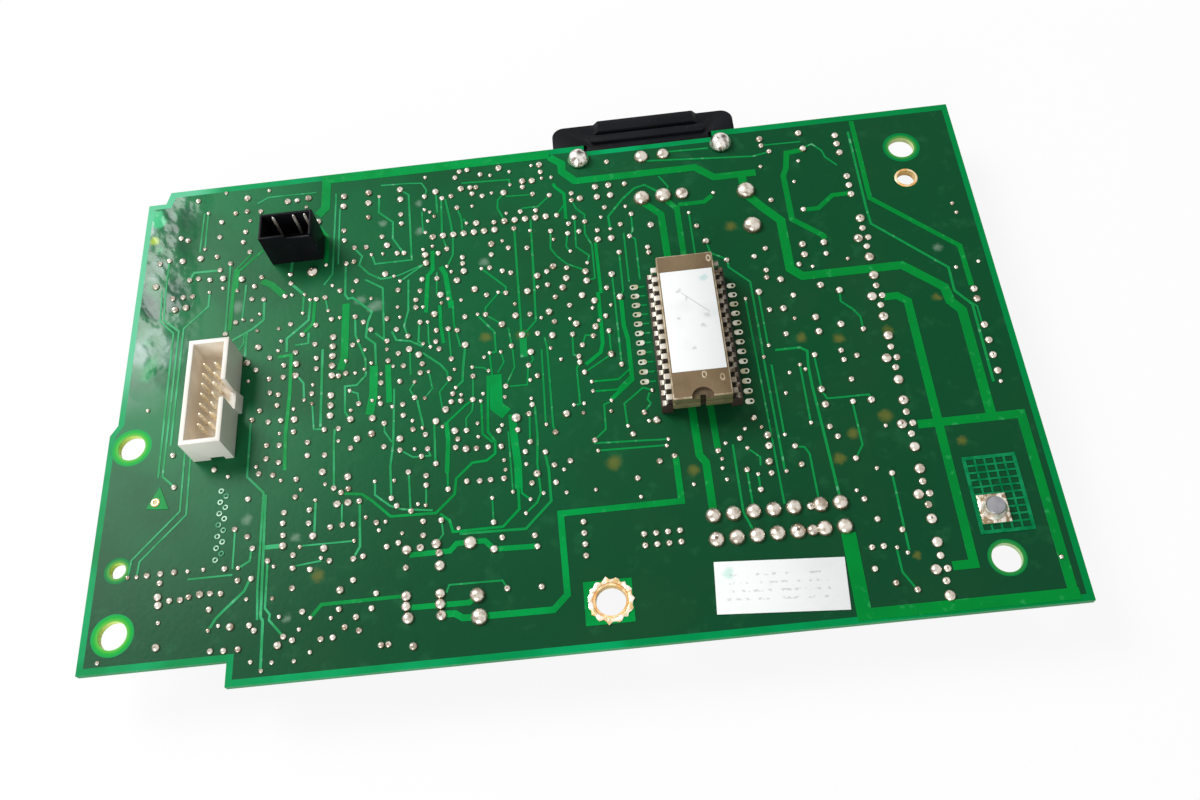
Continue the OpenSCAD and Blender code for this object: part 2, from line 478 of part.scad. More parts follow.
// Far strip with its branch beside the black header
strip_tracks = [
    [2.5, [[46.4, 127.4], [104.5, 127.4]]],
    [2.3, [[47.5, 127.6], [47.5, 118.4], [45.7, 116.4]]]
];
right_tracks = [
    [1.9, [[178.5, 74.5], [181.5, 74.5], [183.6, 72.7], [183.6, 9.8], [179.3, 9.8]]],
    [2, [[179.2, 41.7], [201.2, 41.7], [201.2, 1.7]]],
    [1.2, [[180.8, 127], [180.8, 102.7], [198.5, 86.2], [198.6, 75]]],
    [0.6, [[179.4, 123.7], [179.4, 100], [179.6, 95.2], [187.7, 87.4], [194.6, 80.6], [194.5, 74.2],
        [197.6, 70], [197.4, 50]]],
    [0.4, [[194.5, 73.9], [198.5, 69.4], [198.5, 65.2]]]
];
thin_tracks = [
    [0.4, [[18, 53.7], [18.3, 39.6], [8.8, 29.3], [8.5, 25.7]]],
    [0.4, [[19.4, 52.6], [19.8, 38.6], [10.6, 28.8], [10.4, 25.6]]],
    [0.4, [[31, 33.6], [31.1, 25]]],
    [0.4, [[21.6, 23.7], [31.2, 23.7]]],
    [0.5, [[34.9, 28.6], [34.7, 26.4], [32.6, 25.2]]],
    [0.6, [[34.9, 22], [34, 19.8], [30, 16.1], [28.4, 14.5], [27.2, 12.4]]],
    [0.5, [[32.6, 59.8], [32.7, 46.2], [36.7, 41.9], [36.8, 20], [37.2, 13.3]]],
    [0.6, [[37.2, 41.4], [37.7, 20], [37.9, 13.8], [38.4, 13], [38.6, 2.8]]],
    [0.5, [[38.6, 25.6], [38.7, 15.6], [39.8, 14.2], [39.7, 13], [42.6, 9.6]]],
    [0.5, [[48.4, 38.4], [48.4, 31]]],
    [0.4, [[45.6, 28.6], [57, 28.5]]],
    [0.4, [[44.4, 24.2], [50.2, 24.8]]],
    [0.45, [[12, 86.2], [12, 80], [12.5, 48.2]]],
    [0.45, [[13.3, 86.6], [13.2, 80], [13.5, 48.4], [16.2, 45.8]]],
    [0.45, [[19.9, 96.4], [19.9, 92.6], [14.4, 87], [14.5, 55.9]]],
    [0.45, [[8.8, 106.8], [8.8, 98.7], [9.2, 90.1], [13.3, 86.4]]],
    [0.4, [[7.9, 98.7], [8.4, 89.8], [12, 86]]],
    [0.45, [[24.4, 104.2], [24.7, 84.4]]],
    [0.6, [[33.6, 92.4], [33.8, 87], [31.3, 84.8], [26.5, 82.1]]],
    [0.45, [[29.3, 84], [29.3, 80.7], [27.9, 78.9]]],
    [0.6, [[29.9, 83.9], [30, 77.3]]],
    [0.6, [[44.9, 90.8], [44.7, 85.5], [39.7, 81], [39.9, 77.3]]],
    [0.8, [[46, 90.8], [45.8, 84.4], [43.8, 82.2]]],
    [0.5, [[41.8, 78.9], [44.9, 79.1], [44.9, 82]]],
    [0.8, [[37.9, 76.1], [41, 76.4], [41.2, 66.5], [40.8, 56], [41.1, 46.8]]],
    [0.5, [[42.8, 70.4], [44.3, 68.4], [44.6, 64.4]]],
    [0.6, [[48.4, 77], [48.7, 56.6]]],
    [0.4, [[46.6, 62.4], [47.2, 56.2], [49.3, 56]]],
    [0.4, [[16.4, 121], [16.3, 109]]],
    [0.4, [[17.4, 120.6], [17.5, 110]]],
    [0.6, [[14.7, 101.4], [15.4, 103], [21.7, 102.9]]],
    [0.45, [[25.8, 102.4], [29.5, 106.8]]],
    [0.6, [[27, 102.2], [32.4, 107.5]]],
    [0.45, [[28.8, 97.6], [28.5, 87.8]]],
    [0.4, [[29.9, 122.3], [32.7, 123.9], [44.9, 123.7]]],
    [0.45, [[50.1, 122.6], [50, 98], [48, 95.1]]],
    [0.4, [[51.2, 117.6], [51.3, 100.8]]],
    [0.7, [[39.9, 104], [39.7, 99.6]]],
    [0.4, [[40.2, 103.6], [46.3, 103.6]]],
    [0.7, [[40, 96.4], [43.2, 93]]],
    [0.5, [[43.2, 92.6], [43.2, 87.8]]],
    [0.4, [[48.5, 91.2], [49.2, 87.8]]],
    [0.5, [[52, 55.7], [51.9, 52.6], [52.3, 41.4]]],
    [0.5, [[65.4, 64.4], [65.3, 50.5], [64.7, 45], [65, 37.6]]],
    [0.45, [[61.4, 41.4], [61.4, 38.6], [64.7, 35.7], [67.2, 34.6], [74, 33.6]]],
    [0.6, [[54.4, 39.7], [58.5, 39.1], [60.8, 37.3], [64.9, 33.2], [74.7, 32.9], [78.8, 36.8],
        [79.2, 40.4], [82.8, 43.8], [86, 44], [87.9, 45.4], [88, 48.4], [86.5, 50.9], [86.9, 65.1]]],
    [0.45, [[68.8, 42.8], [69.2, 34.2]]],
    [0.4, [[72.6, 39.4], [72.6, 35.1]]],
    [0.5, [[77.3, 42.6], [77.4, 38.2]]],
    [0.4, [[86.9, 34.8], [87, 29.6]]],
    [0.4, [[54.2, 37.2], [54.3, 32.5]]],
    [0.55, [[58.1, 37.2], [58.4, 27.1], [57.1, 24.8]]],
    [0.4, [[75.9, 30.8], [76.2, 27.9], [75, 26.4]]],
    [0.6, [[75.6, 32.6], [77.6, 30.9], [78.3, 28.2], [89, 28.2], [92.6, 31.8], [92.6, 36.8]]],
    [0.6, [[79.7, 27.6], [93.8, 27.2], [99.5, 32.9], [99.4, 40.4], [98.8, 44.4]]],
    [0.5, [[97.2, 56.3], [97.4, 48.7], [97, 42], [97.4, 35], [96.5, 32.9], [94.2, 30.9]]],
    [0.4, [[91, 50.5], [91.4, 36]]],
    [0.45, [[93.3, 37], [93.3, 35.4], [95, 33.9]]],
    [0.4, [[76.7, 15], [77.3, 16.6], [88.4, 16.4], [89.2, 14.8]]],
    [0.55, [[53.2, 100.4], [53.3, 91.6], [54, 90.3], [55.1, 90.5], [59.9, 85.9], [58.9, 83],
        [58.6, 79], [60.8, 76.9], [61.1, 71.2]]],
    [0.5, [[58.1, 95.3], [62.4, 92.3], [62.9, 77.8], [60.8, 79.8]]],
    [0.5, [[55.9, 84.8], [56.1, 79.8], [58.6, 73], [58.8, 68.7], [56.7, 66.4], [54, 66.4], [54.2, 59.8],
        [55.2, 57.9]]],
    [0.4, [[55.2, 65], [57, 64.2], [57.4, 61.8]]],
    [0.4, [[63.3, 55.6], [63.3, 53.7], [65, 50.9]]],
    [0.4, [[66.9, 48.7], [69.7, 46.7], [73.6, 46.6], [73.1, 48.2]]],
    [0.5, [[68.6, 93.9], [68.6, 85.1], [67.6, 80.9], [68.4, 78.2]]],
    [0.5, [[71.2, 81.2], [71, 76.2], [72, 75.5]]],
    [0.4, [[73.3, 81.1], [73.4, 75.9], [73.8, 74.5]]],
    [0.8, [[76.1, 85.6], [76.3, 79.8], [76.9, 75]]],
    [0.45, [[79.2, 86.4], [79.4, 80], [80.8, 73.6]]],
    [0.4, [[78.1, 78.6], [78.6, 70.8]]],
    [0.5, [[64.7, 79.8], [65.8, 77.3], [69, 76.6], [72, 74.8]]],
    [0.5, [[72, 73], [76.1, 69.4], [77.6, 67.3], [77.8, 65.6]]],
    [0.4, [[69, 74], [69.2, 67.6]]],
    [0.4, [[70.1, 65.5], [69, 63.7], [70, 61.7]]],
    [0.4, [[73.4, 67.7], [74.2, 63.4], [72.5, 61.3]]],
    [0.5, [[70.6, 61.2], [71.9, 54.8], [72, 53.8]]],
    [0.5, [[74.5, 54.6], [74.7, 44.8]]],
    [0.5, [[76.6, 53.6], [81.9, 58.4], [83.2, 59.2]]],
    [0.4, [[83.4, 59], [83.1, 56.6], [81.7, 54.8], [81.7, 52]]],
    [0.4, [[78, 65], [75.8, 62.3], [76.4, 58]]],
    [0.6, [[81.9, 73.4], [81.3, 68], [81.1, 64.4], [79.6, 63]]],
    [0.4, [[83.5, 65.2], [83.4, 59.8]]],
    [0.4, [[83.5, 67.8], [86.1, 67.3], [87, 66.5]]],
    [0.4, [[87.5, 70.8], [87.9, 65]]],
    [0.4, [[90.2, 70.8], [90.7, 68.2], [89.2, 65.6]]],
    [0.5, [[85, 81.6], [88.8, 76.6], [89, 71.2], [87.7, 71.1]]],
    [0.45, [[92, 87.2], [90.1, 87.2], [86.9, 83.4], [86.9, 81.8]]],
    [0.5, [[86.5, 94.5], [92, 88.7], [91.9, 87.2]]],
    [0.4, [[87.1, 81.4], [90.4, 78.6]]],
    [0.4, [[92.1, 77.3], [92.8, 71.6], [93.1, 66.6], [91, 62.2]]],
    [0.4, [[91.2, 61.8], [95.8, 61.7], [96.2, 66.6]]],
    [0.5, [[85.2, 58.6], [85.3, 50.5], [87.5, 48.2]]],
    [0.55, [[94.7, 105.2], [95.1, 75.2]]],
    [0.5, [[98.8, 107.6], [98.8, 91], [98.6, 78.4], [96.2, 75.6]]],
    [0.4, [[97.1, 70], [97.4, 68], [96.5, 66.8]]],
    [0.45, [[99.5, 70.5], [99.4, 51.4]]],
    [0.45, [[100.3, 73.7], [100.8, 70.9], [101, 50.5], [101.4, 49.3]]],
    [0.45, [[95.9, 54], [95.7, 47.6]]],
    [0.5, [[61.1, 119.9], [61.1, 115.1], [64.7, 111.6], [64.7, 106.6], [67.2, 102.2]]],
    [0.5, [[66.6, 121.3], [68.6, 119.6], [69, 113], [69.4, 99.6], [60.4, 99.6], [59.6, 102.2]]],
    [0.4, [[61.5, 123.6], [69, 123.2], [71.9, 122.8], [73.1, 120.4], [72.7, 118.6]]],
    [0.5, [[75.5, 119], [75.8, 113]]],
    [0.5, [[76.8, 117], [76.9, 106]]],
    [0.5, [[77.8, 117], [79, 110.1], [79.5, 105.9]]],
    [0.45, [[80.8, 113.5], [81.7, 110.5], [82, 106]]],
    [0.4, [[82.2, 110.2], [83, 108.8]]],
    [0.4, [[71.9, 113.9], [72.2, 107.6]]],
    [0.5, [[92.4, 116.4], [91, 114.8], [90.8, 112.3], [92.4, 108.2]]],
    [0.4, [[92.7, 116.2], [93.4, 115.6], [99.5, 115.3]]],
    [0.5, [[96.4, 110.6], [97, 111.4], [100.8, 111.4], [103.7, 114.2]]],
    [0.5, [[82, 121.4], [94, 120.8], [94.2, 119.3]]],
    [0.5, [[79.6, 105.4], [79.5, 99.8], [78.2, 96.8]]],
    [0.4, [[77, 105.4], [78, 101.8]]],
    [0.5, [[55.3, 104.8], [57.2, 102.3], [56.5, 99.8], [59, 96.9], [61.9, 95], [65, 95.2]]],
    [0.4, [[65.4, 95.3], [66.9, 95.7], [72.6, 98]]],
    [0.45, [[66.8, 93.9], [72, 97.6]]],
    [0.4, [[75.5, 95.1], [75.4, 89], [76.2, 88.6]]],
    [0.6, [[152, 63.7], [157.5, 63.7], [159, 62.6], [158.6, 59], [158.6, 54], [159.4, 35], [159.8, 27]]],
    [0.45, [[152.6, 39.6], [154.5, 39.2], [155.3, 37.5], [155.4, 27]]],
    [0.45, [[166.5, 48.6], [166.7, 38.3], [164.9, 35.6]]],
    [0.5, [[171.5, 30.9], [171.5, 14]]],
    [0.45, [[169.1, 14.6], [169.2, 9.6], [171.2, 5.9]]],
    [0.45, [[168.9, 77.4], [168.7, 74.6], [171, 72.2], [172.3, 70], [172.3, 66.9]]],
    [0.45, [[160.3, 61.2], [160.5, 52.8]]],
    [0.45, [[160.5, 52], [161.3, 50.2], [170.4, 50.1], [170.6, 49]]],
    [0.45, [[156.8, 59.1], [156.8, 45]]],
    [0.4, [[157.7, 122.5], [167.4, 122.3]]],
    [0.5, [[128.4, 121.8], [155, 119.4], [159, 120.2]]],
    [0.5, [[134, 123.9], [144.4, 123.6]]],
    [0.45, [[168, 120.4], [169.9, 121.2], [172, 118.7], [172.5, 116.6], [174.9, 113.7]]],
    [0.6, [[118, 102.4], [117.8, 105.9], [121.8, 110.9], [125, 113.7], [127.5, 114.3], [130.6, 111.8]]],
    [0.45, [[131.2, 116.6], [133.2, 113], [132.6, 111.6]]],
    [0.45, [[137.3, 104.1], [137.4, 88], [139.2, 52]]],
    [0.45, [[123.4, 105.6], [123.3, 100.9], [122.6, 99.6]]],
    [0.45, [[121.1, 100.5], [121.1, 86.4]]],
    [0.45, [[122.6, 99.2], [123.7, 98.4], [123.7, 86.6]]],
    [0.45, [[119.5, 94.8], [119.5, 84], [118.8, 82.6]]],
    [0.45, [[117.3, 88.6], [117.4, 64.4]]],
    [0.45, [[111.9, 104.9], [111.8, 101.6], [113.2, 98], [113.2, 88.4], [111.5, 88]]],
    [0.45, [[109.6, 106.6], [109.4, 98], [112.3, 95.1], [111.8, 93.2]]],
    [0.45, [[107.5, 102], [107, 98.4], [107.8, 97]]],
    [0.45, [[103.5, 103.3], [103.2, 98.4], [104.6, 95.9], [106.8, 93.4], [111, 91]]],
    [0.45, [[105.4, 108.2], [107.4, 111.2]]],
    [0.45, [[109.3, 112], [110.2, 109.4], [112.1, 107.3], [112, 105.3]]],
    [0.5, [[140.5, 94.8], [141, 91.9], [144.6, 89.6], [144.7, 87.3], [149.1, 82.6], [149.2, 65],
        [149.1, 62.3], [149.5, 34.4]]],
    [0.45, [[147.3, 78], [148, 42], [148.2, 26.8]]],
    [0.45, [[150.5, 79.2], [150.6, 65.3]]],
    [0.45, [[150.6, 60.1], [150.7, 42.8]]],
    [0.45, [[115.3, 73.3], [115.3, 67.6]]],
    [0.45, [[114.8, 66.9], [109.1, 63.4]]],
    [0.45, [[110.4, 60.7], [116.4, 60.6], [119, 62.8]]],
    [0.45, [[110.5, 58.2], [115.9, 58], [119, 60.9]]],
    [0.45, [[106.8, 73.4], [106.7, 68.2], [107.8, 67.7]]],
    [0.45, [[107.9, 65.9], [107.2, 64.6], [107.3, 55.4], [106, 55.2]]],
    [0.45, [[111.5, 72.8], [109.8, 73], [109, 70.7]]],
    [0.45, [[114.2, 55.2], [112.6, 54.6], [112.5, 48.5], [110, 46.3]]],
    [0.45, [[123.4, 57], [121.6, 57.8], [117.1, 54.3], [117.3, 48.9]]],
    [0.45, [[122.9, 56.4], [122.3, 54.8], [122.9, 53.7], [121.4, 51.8]]],
    [0.45, [[109.6, 45.4], [125.6, 44.5]]],
    [0.45, [[110.5, 43.5], [125.2, 43.1]]],
    [0.5, [[139.4, 41.6], [139.5, 25.7], [141, 21.6]]],
    [0.45, [[141.6, 35.2], [141.7, 26.4]]],
    [0.4, [[142.5, 40.3], [144.8, 38], [144.6, 36]]],
    [0.45, [[143.8, 33.9], [143.8, 30.7]]]
];

// Unit normal to the left of the way from a to b
function normal(a, b) = let (d = b - a) [-d[1], d[0]] / norm(d);
// Mitred side step of a track at point i, for a half width of 1
function mitre(p, i) =
    i == 0 ? normal(p[0], p[1]) :
    i == len(p) - 1 ? normal(p[i - 1], p[i]) :
    let (m = normal(p[i - 1], p[i]), n = normal(p[i], p[i + 1])) (m + n) / (1 + m * n);
// Closed outline of a track of width w along the points p
function track(p, w) = concat(
    [for (i = [0:len(p) - 1]) p[i] + mitre(p, i) * w / 2],
    [for (i = [len(p) - 1:-1:0]) p[i] - mitre(p, i) * w / 2]
);

// Place of leg i along Y
function leg_y(i) = chip_y + (i - (chip_rows - 1) / 2) * pitch;

// Board outline, moved in by m on every edge and by top along the far edge
function outline(m, top) = [
    [m, step_d + m], [step_w + m, step_d + m], [step_w + m, m], [board_w - m, m],
    [board_w - m, board_d - top],
    [recess_x + recess_w + m, board_d - top], [recess_x + recess_w + m, board_d - max(top, recess_d + m)],
    [recess_x - m, board_d - max(top, recess_d + m)], [recess_x - m, board_d - top],
    [notch_w + m, board_d - top], [notch_w - 1 + m, board_d - notch_d - m],
    [side_d + m, board_d - notch_d - m], [side_d + m, side_step[1]], [m, side_step[0]]
];

// Moves from the board frame to the part's frame, centred over the floor
module placed() {
    translate([-board_w / 2, -(board_d + conn_over) / 2, stand_h + board_t]) children();
}

// Solder joint round a lead: concave fillet up to a blunt lead end
module joint(r) {
    h = r * joint_rise;
    rotate_extrude()
        polygon([[0, 0], [r, 0], [0.82 * r, 0.45 * h], [0.5 * r, 0.8 * h], [0.3 * r, h], [0, h]]);
}

// Rectangle with round corners
module rounded(w, d, r) {
    translate([r, 0]) square([w - 2 * r, d]);
    translate([0, r]) square([w, d - 2 * r]);
    for (x = [r, w - r], y = [r, d - r]) translate([x, y]) circle(r);
}

// Pad with round ends, along X
module oblong(l, w) {
    square([l - w, w], center = true);
    for (s = [-1, 1]) translate([s * (l - w) / 2, 0]) circle(d = w);
}

module field_shape() {
    difference() {
        polygon(outline(edge_gap, edge_gap + 0.3));
        for (h = holes) translate([h[0], h[1]]) circle(d = h[2] + 2 * ring_w * h[3]);
    }
}

module board() {
    color("#1e9c57") placed() difference() {
        translate([0, 0, under]) linear_extrude(board_t) polygon(outline(0, 0));
        translate([0, 0, -field_t]) linear_extrude(field_t + eps) field_shape();
        for (h = holes) translate([h[0], h[1], under - 1]) cylinder(d = h[2], h = board_t + 2);
    }
}

module plane_field() {
    color("#215637") placed() translate([0, 0, -field_t]) linear_extrude(field_t) field_shape();
}

// Tracks, ending at the rims of the joints that they run to
module copper() {
    color("#0a963f") placed() difference() {
        union() {
            for (t = concat(wide_tracks, strip_tracks, right_tracks, thin_tracks))
                linear_extrude(copper_t) polygon(track([for (p = t[1]) at(p)], t[0]));
            for (i = [pad_rows[0][0]:pad_rows[0][1]])
                translate([pad_x - pad_span / 2, leg_y(i) - stub_w / 2, 0])
                    cube([pad_l / 2 + stub_l, stub_w, copper_t]);
            translate([earth_hole[0] + earth_shift[0] - earth_square[0] / 2,
                earth_hole[1] + earth_shift[1] - earth_square[1] / 2, 0])
                cube([earth_square[0], earth_square[1], copper_t]);
        }
        for (p = small_all) translate([p[0], p[1], -1]) cylinder(r = small_r, h = 2);
        for (p = mid_all) translate([p[0], p[1], -1]) cylinder(r = mid_r, h = 2);
        for (p = large_all) translate([p[0], p[1], -1]) cylinder(r = large_r, h = 2);
        for (p = heavy_all) translate([p[0], p[1], -1]) cylinder(r = p[2], h = 2);
        for (h = holes) translate([h[0], h[1], -1]) cylinder(d = h[2] + 2 * land_gap, h = 2);
        for (k = [0, 1], i = [pad_rows[k][0]:pad_rows[k][1]])
            translate([pad_x + (k - 0.5) * pad_span, leg_y(i), -1]) linear_extrude(2) oblong(pad_l, pad_w);
    }
}

module joints_small() {
    color("silver") placed() for (p = small_all) translate([p[0], p[1], 0]) joint(small_r);
}

module joints_mid() {
    color("silver") placed() for (p = mid_all) translate([p[0], p[1], 0]) joint(mid_r);
}

module joints_large() {
    color("silver") placed() for (p = large_all) translate([p[0], p[1], 0]) joint(large_r);
}

module joints_power() {
    color("silver") placed() for (p = heavy_all) translate([p[0], p[1], 0]) joint(p[2]);
}

// Domed joints over the pegs of the edge connector
module peg_joints() {
    color("silver") placed() for (x = [conn_x + peg_in[0], conn_x + conn_w - peg_in[1]])
        translate([x, peg_y, 0]) rotate_extrude()
            polygon([[0, 0], [peg_r, 0], [0.98 * peg_r, 0.3 * peg_h], [0.75 * peg_r, 0.75 * peg_h],
                [0.4 * peg_r, 0.97 * peg_h], [0, peg_h]]);
}

// Tinned lands round the earth hole and the lined hole
module hole_lands() {
    color("#c9b896") placed() for (h = [earth_hole, lined_hole])
        translate([h[0], h[1], 0]) rotate_extrude() translate([h[2] / 2, 0])
            polygon([[0, 0], [land_gap, 0], [land_gap, copper_t], [land_w, copper_t],
                [land_w - 0.2, land_t], [0.1, land_t]]);
}

// Zigzag row of open rings
module via_rings() {
    color("#b9c9b4") placed() for (i = [0:ring_n - 1])
        translate(concat(ring_at + [i % 2 * ring_step[0], i * ring_step[1]], 0)) difference() {
            cylinder(r = ring_r, h = ring_t);
            translate([0, 0, -eps]) cylinder(r = ring_eye_r, h = 1);
        }
}

// Three-cornered test pad with its open eye
module test_pad() {
    color("#39b36b") placed() translate(at([10.6, 40.4])) linear_extrude(test_t) difference() {
        polygon([[0, 0.5], [5.1, 0], [2.6, 5.6]]);
        translate([2, 1.8]) circle(test_eye_r);
    }
}

// Hatched earth pad: a frame with crossing bars, filled where the stud is soldered on
module hatch_pad() {
    w = hatch_cols * (hatch_cell[0] + hatch_line) - hatch_line + 2 * hatch_frame;
    d = hatch_rows * (hatch_cell[1] + hatch_line) - hatch_line + 2 * hatch_frame;
    color("#1c7d4d") placed() translate(hatch_at) linear_extrude(hatch_t) {
        difference() {
            square([w, d]);
            for (i = [0:hatch_cols - 1], j = [0:hatch_rows - 1])
                translate([hatch_frame + i * (hatch_cell[0] + hatch_line),
                    hatch_frame + j * (hatch_cell[1] + hatch_line)]) square(hatch_cell);
        }
        translate([hatch_frame, hatch_frame + hatch_cell[1]])
            square([3 * (hatch_cell[0] + hatch_line), 4 * (hatch_cell[1] + hatch_line)]);
    }
}

// Round stud soldered on the hatched pad
module stud() {
    color("silver") placed()
        translate([hatch_at[0] + hatch_frame + 3.1, hatch_at[1] + hatch_frame + 4.5, hatch_t]) rotate_extrude()
            polygon([[0, 0], [stud_r + 0.7, 0], [stud_r + 0.2, 0.5], [stud_r, 1.2], [stud_r, stud_h - 0.2],
                [stud_r - 0.2, stud_h], [0, stud_h]]);
}

// Rows of open pads beside the socket
module chip_pads() {
    color("#cfd6cf") placed() for (k = [0, 1], i = [pad_rows[k][0]:pad_rows[k][1]])
        translate([pad_x + (k - 0.5) * pad_span, leg_y(i), 0]) linear_extrude(pad_t) difference() {
            oblong(pad_l, pad_w);
            translate([pad_eye_d * (k - 0.5), 0]) circle(d = pad_eye_d);
        }
}

// Open-frame socket: two rails and two cross bars
module socket() {
    color("#3a332b") placed() translate([chip_x, chip_y, copper_t]) {
        for (s = [-1, 1]) translate([s * chip_span / 2 - rail_w / 2, -rail_l / 2, 0])
            cube([rail_w, rail_l, socket_h - copper_t]);
        for (s = [-1, 1]) translate([-chip_span / 2, s * (rail_l / 2 - bar_w) - bar_w / 2, 0.4])
            cube([chip_span, bar_w, socket_h - 1.2]);
    }
}

// Contact tips on the rails, just outside the legs
module socket_contacts() {
    color("silver") placed() for (s = [-1, 1], i = [0:chip_rows - 1])
        translate([chip_x + s * (chip_span / 2 + leg_t / 2 + 0.45) - 0.4,
            leg_y(i) - 0.6, socket_h]) cube([0.8, 1.2, 0.3]);
}

// Ceramic body in two halves, with the round end notch
module chip() {
    half = chip_t / 2;
    color("#78624e") placed() translate([chip_x, chip_y, chip_z]) difference() {
        union() {
            translate([-chip_w / 2, -chip_l / 2, 0]) cube([chip_w, chip_l, half - 0.15]);
            translate([-chip_w / 2 + 0.2, -chip_l / 2 + 0.2, half - 0.15])
                cube([chip_w - 0.4, chip_l - 0.4, 0.3]);
            translate([-chip_w / 2, -chip_l / 2, half + 0.15]) cube([chip_w, chip_l, half - 0.15]);
        }
        translate([0, -chip_l / 2, chip_t - scoop_in]) cylinder(r = scoop_r, h = chip_t);
        translate([-end_slot[0] / 2, -chip_l / 2 - 1, -1]) cube([end_slot[0], end_slot[1] + 1, chip_t + 2]);
        for (p = press_marks)
            translate([p[0], p[1] - chip_l / 2, chip_t - 0.2]) cylinder(r = 0.6, h = 1);
    }
}

// Legs: a shoulder out of the seam, then straight down on the socket
module chip_legs() {
    z = chip_t / 2 + chip_lift;
    color("silver") placed() for (s = [-1, 1], i = [0:chip_rows - 1])
        translate([chip_x + s * (chip_w / 2 - 0.2), leg_y(i), socket_h])
            rotate([90, 0, 0]) linear_extrude(leg_w, center = true)
                polygon([for (p = [[0, z - 0.15], [leg_out + 0.2 - leg_t, z - 0.15], [leg_out + 0.2 - leg_t, 0],
                    [leg_out + 0.2, 0], [leg_out + 0.2, z + 0.15], [0, z + 0.15]]) [s * p[0], p[1]]]);
}

module chip_label() {
    color("white") placed()
        translate([chip_x - chip_label_w / 2, chip_y + chip_l / 2 - 4.5 - chip_label_l, chip_z + chip_t])
            cube([chip_label_w, chip_label_l, 0.1]);
}

// White shell, open on top, with a key slot, its ramp and feet
module box_header() {
    color("white") placed() translate(box_at) {
        difference() {
            cube([box_w, box_l, box_h]);
            translate([box_wall, box_wall, box_floor])
                cube([box_w - 2 * box_wall, box_l - 2 * box_wall, box_h]);
            translate([box_w - box_wall - eps, (box_l - key_w) / 2, box_floor + 0.6])
                cube([box_wall + 1, key_w, box_h]);
            for (y = [-1, box_l - box_wall])
                translate([box_w / 2 - 0.6, y, -1]) cube([3.2, box_wall + 1, 2.2]);
        }
        translate([box_w, (box_l + key_w) / 2, 0]) rotate([90, 0, 0]) linear_extrude(key_w)
            polygon([[0, 0], [0.9, 0], [0.3, box_floor + 0.6], [0, box_floor + 0.6]]);
    }
}

// Square pins of the box header, in two rows
module box_pins() {
    color("#d9b35c") placed() translate([box_at[0] + box_w / 2, box_at[1] + box_l / 2, box_floor])
        for (i = [0:1], j = [0:box_pins_n - 1])
            translate([(i - 0.5) * pitch - pin_w / 2, (j - (box_pins_n - 1) / 2) * pitch - pin_w / 2, 0])
                cube([pin_w, pin_w, box_h - box_floor - box_pin_low]);
}

// Black shroud, open on top, lower along half of its near wall
module shroud() {
    color("#1b1b1d") placed() translate([shroud_at[0], shroud_at[1], copper_t]) difference() {
        cube([shroud_w, shroud_l, shroud_h]);
        translate([shroud_wall, shroud_wall, shroud_floor])
            cube([shroud_w - 2 * shroud_wall, shroud_l - 2 * shroud_wall, shroud_h]);
        translate([shroud_w / 2, -1, shroud_h - 1]) cube([shroud_w / 2 - shroud_wall, shroud_wall + 1.5, 2]);
    }
}

module shroud_pins() {
    y = shroud_at[1] + shroud_l - shroud_wall - shroud_pin_gap - shroud_pin_t;
    color("silver") placed() for (x = shroud_pins_x)
        translate([shroud_at[0] + shroud_w / 2 + x - pin_w / 2, y, copper_t + shroud_floor])
            cube([pin_w, shroud_pin_t, shroud_h - shroud_floor - shroud_pin_low]);
}

module paper_label() {
    color("white") placed() translate(concat(at([144.8, 9.3]), copper_t)) rotate(paper_turn)
        translate([-paper_l / 2, -paper_w / 2, 0]) cube([paper_l, paper_w, paper_t]);
}

// Edge connector: block under the board that rises in front of the edge, mating face outwards
module edge_housing() {
    front = board_d + 0.4;
    deep = conn_over - 0.4;
    color("#1c1e22") placed() difference() {
        union() {
            translate([conn_x, board_d - conn_in, under - stand_h]) linear_extrude(stand_h)
                rounded(conn_w, conn_in + conn_over, 2.5);
            translate([conn_x, front, under - 1]) linear_extrude(board_t + 0.4) difference() {
                translate([0, -deep]) rounded(conn_w, 2 * deep, 3);
                translate([-1, -deep - 1]) square([conn_w + 2, deep + 1]);
            }
            translate([recess_x + 0.8, board_d - recess_d + 0.4, under - 1])
                cube([recess_w - 1.6, recess_d, board_t + 0.5]);
            translate([conn_x + 10.4, board_d + conn_over, under - 1]) rotate([90, 0, 0]) linear_extrude(3.4)
                polygon([[0, 0], [conn_w - 19, 0], [conn_w - 19, 1.6], [conn_w - 20.5, 3.2], [1.5, 3.2], [0, 1.6]]);
            translate([conn_x + 9.6, front + 0.2, under - 1]) linear_extrude(board_t + 1.2)
                rounded(conn_w - 17, 2.2, 1);
        }
        translate([conn_x + 5, board_d + conn_over - 6, under - stand_h + 2])
            cube([conn_w - 10, 7, stand_h - 3.6]);
    }
}

// Contact tongue in the mating face
module edge_contacts() {
    color("#c9a04a") placed() translate([conn_x + 7, board_d + conn_over - 6, under - stand_h / 2 - 1])
        cube([conn_w - 14, 5.2, 2.4]);
}

// Power connectors: a ten-way and a four-way housing with square wells
module power_housings() {
    depth = power_row_gap + 2 * power_edge;
    color("#e6e2d6") placed() for (k = [0, 1])
        translate([power_starts[k] - cell_pitch / 2 - power_end, power_rows[0] - power_edge, under - stand_h])
            difference() {
                cube([power_cells[k] * cell_pitch + 2 * power_end, depth, stand_h]);
                for (i = [0:power_cells[k] - 1], y = [power_edge, depth - power_edge])
                    translate([power_end + (i + 0.5) * cell_pitch - well_w / 2, y - well_w / 2, -1])
                        cube([well_w, well_w, stand_h - well_floor + 1]);
            }
}

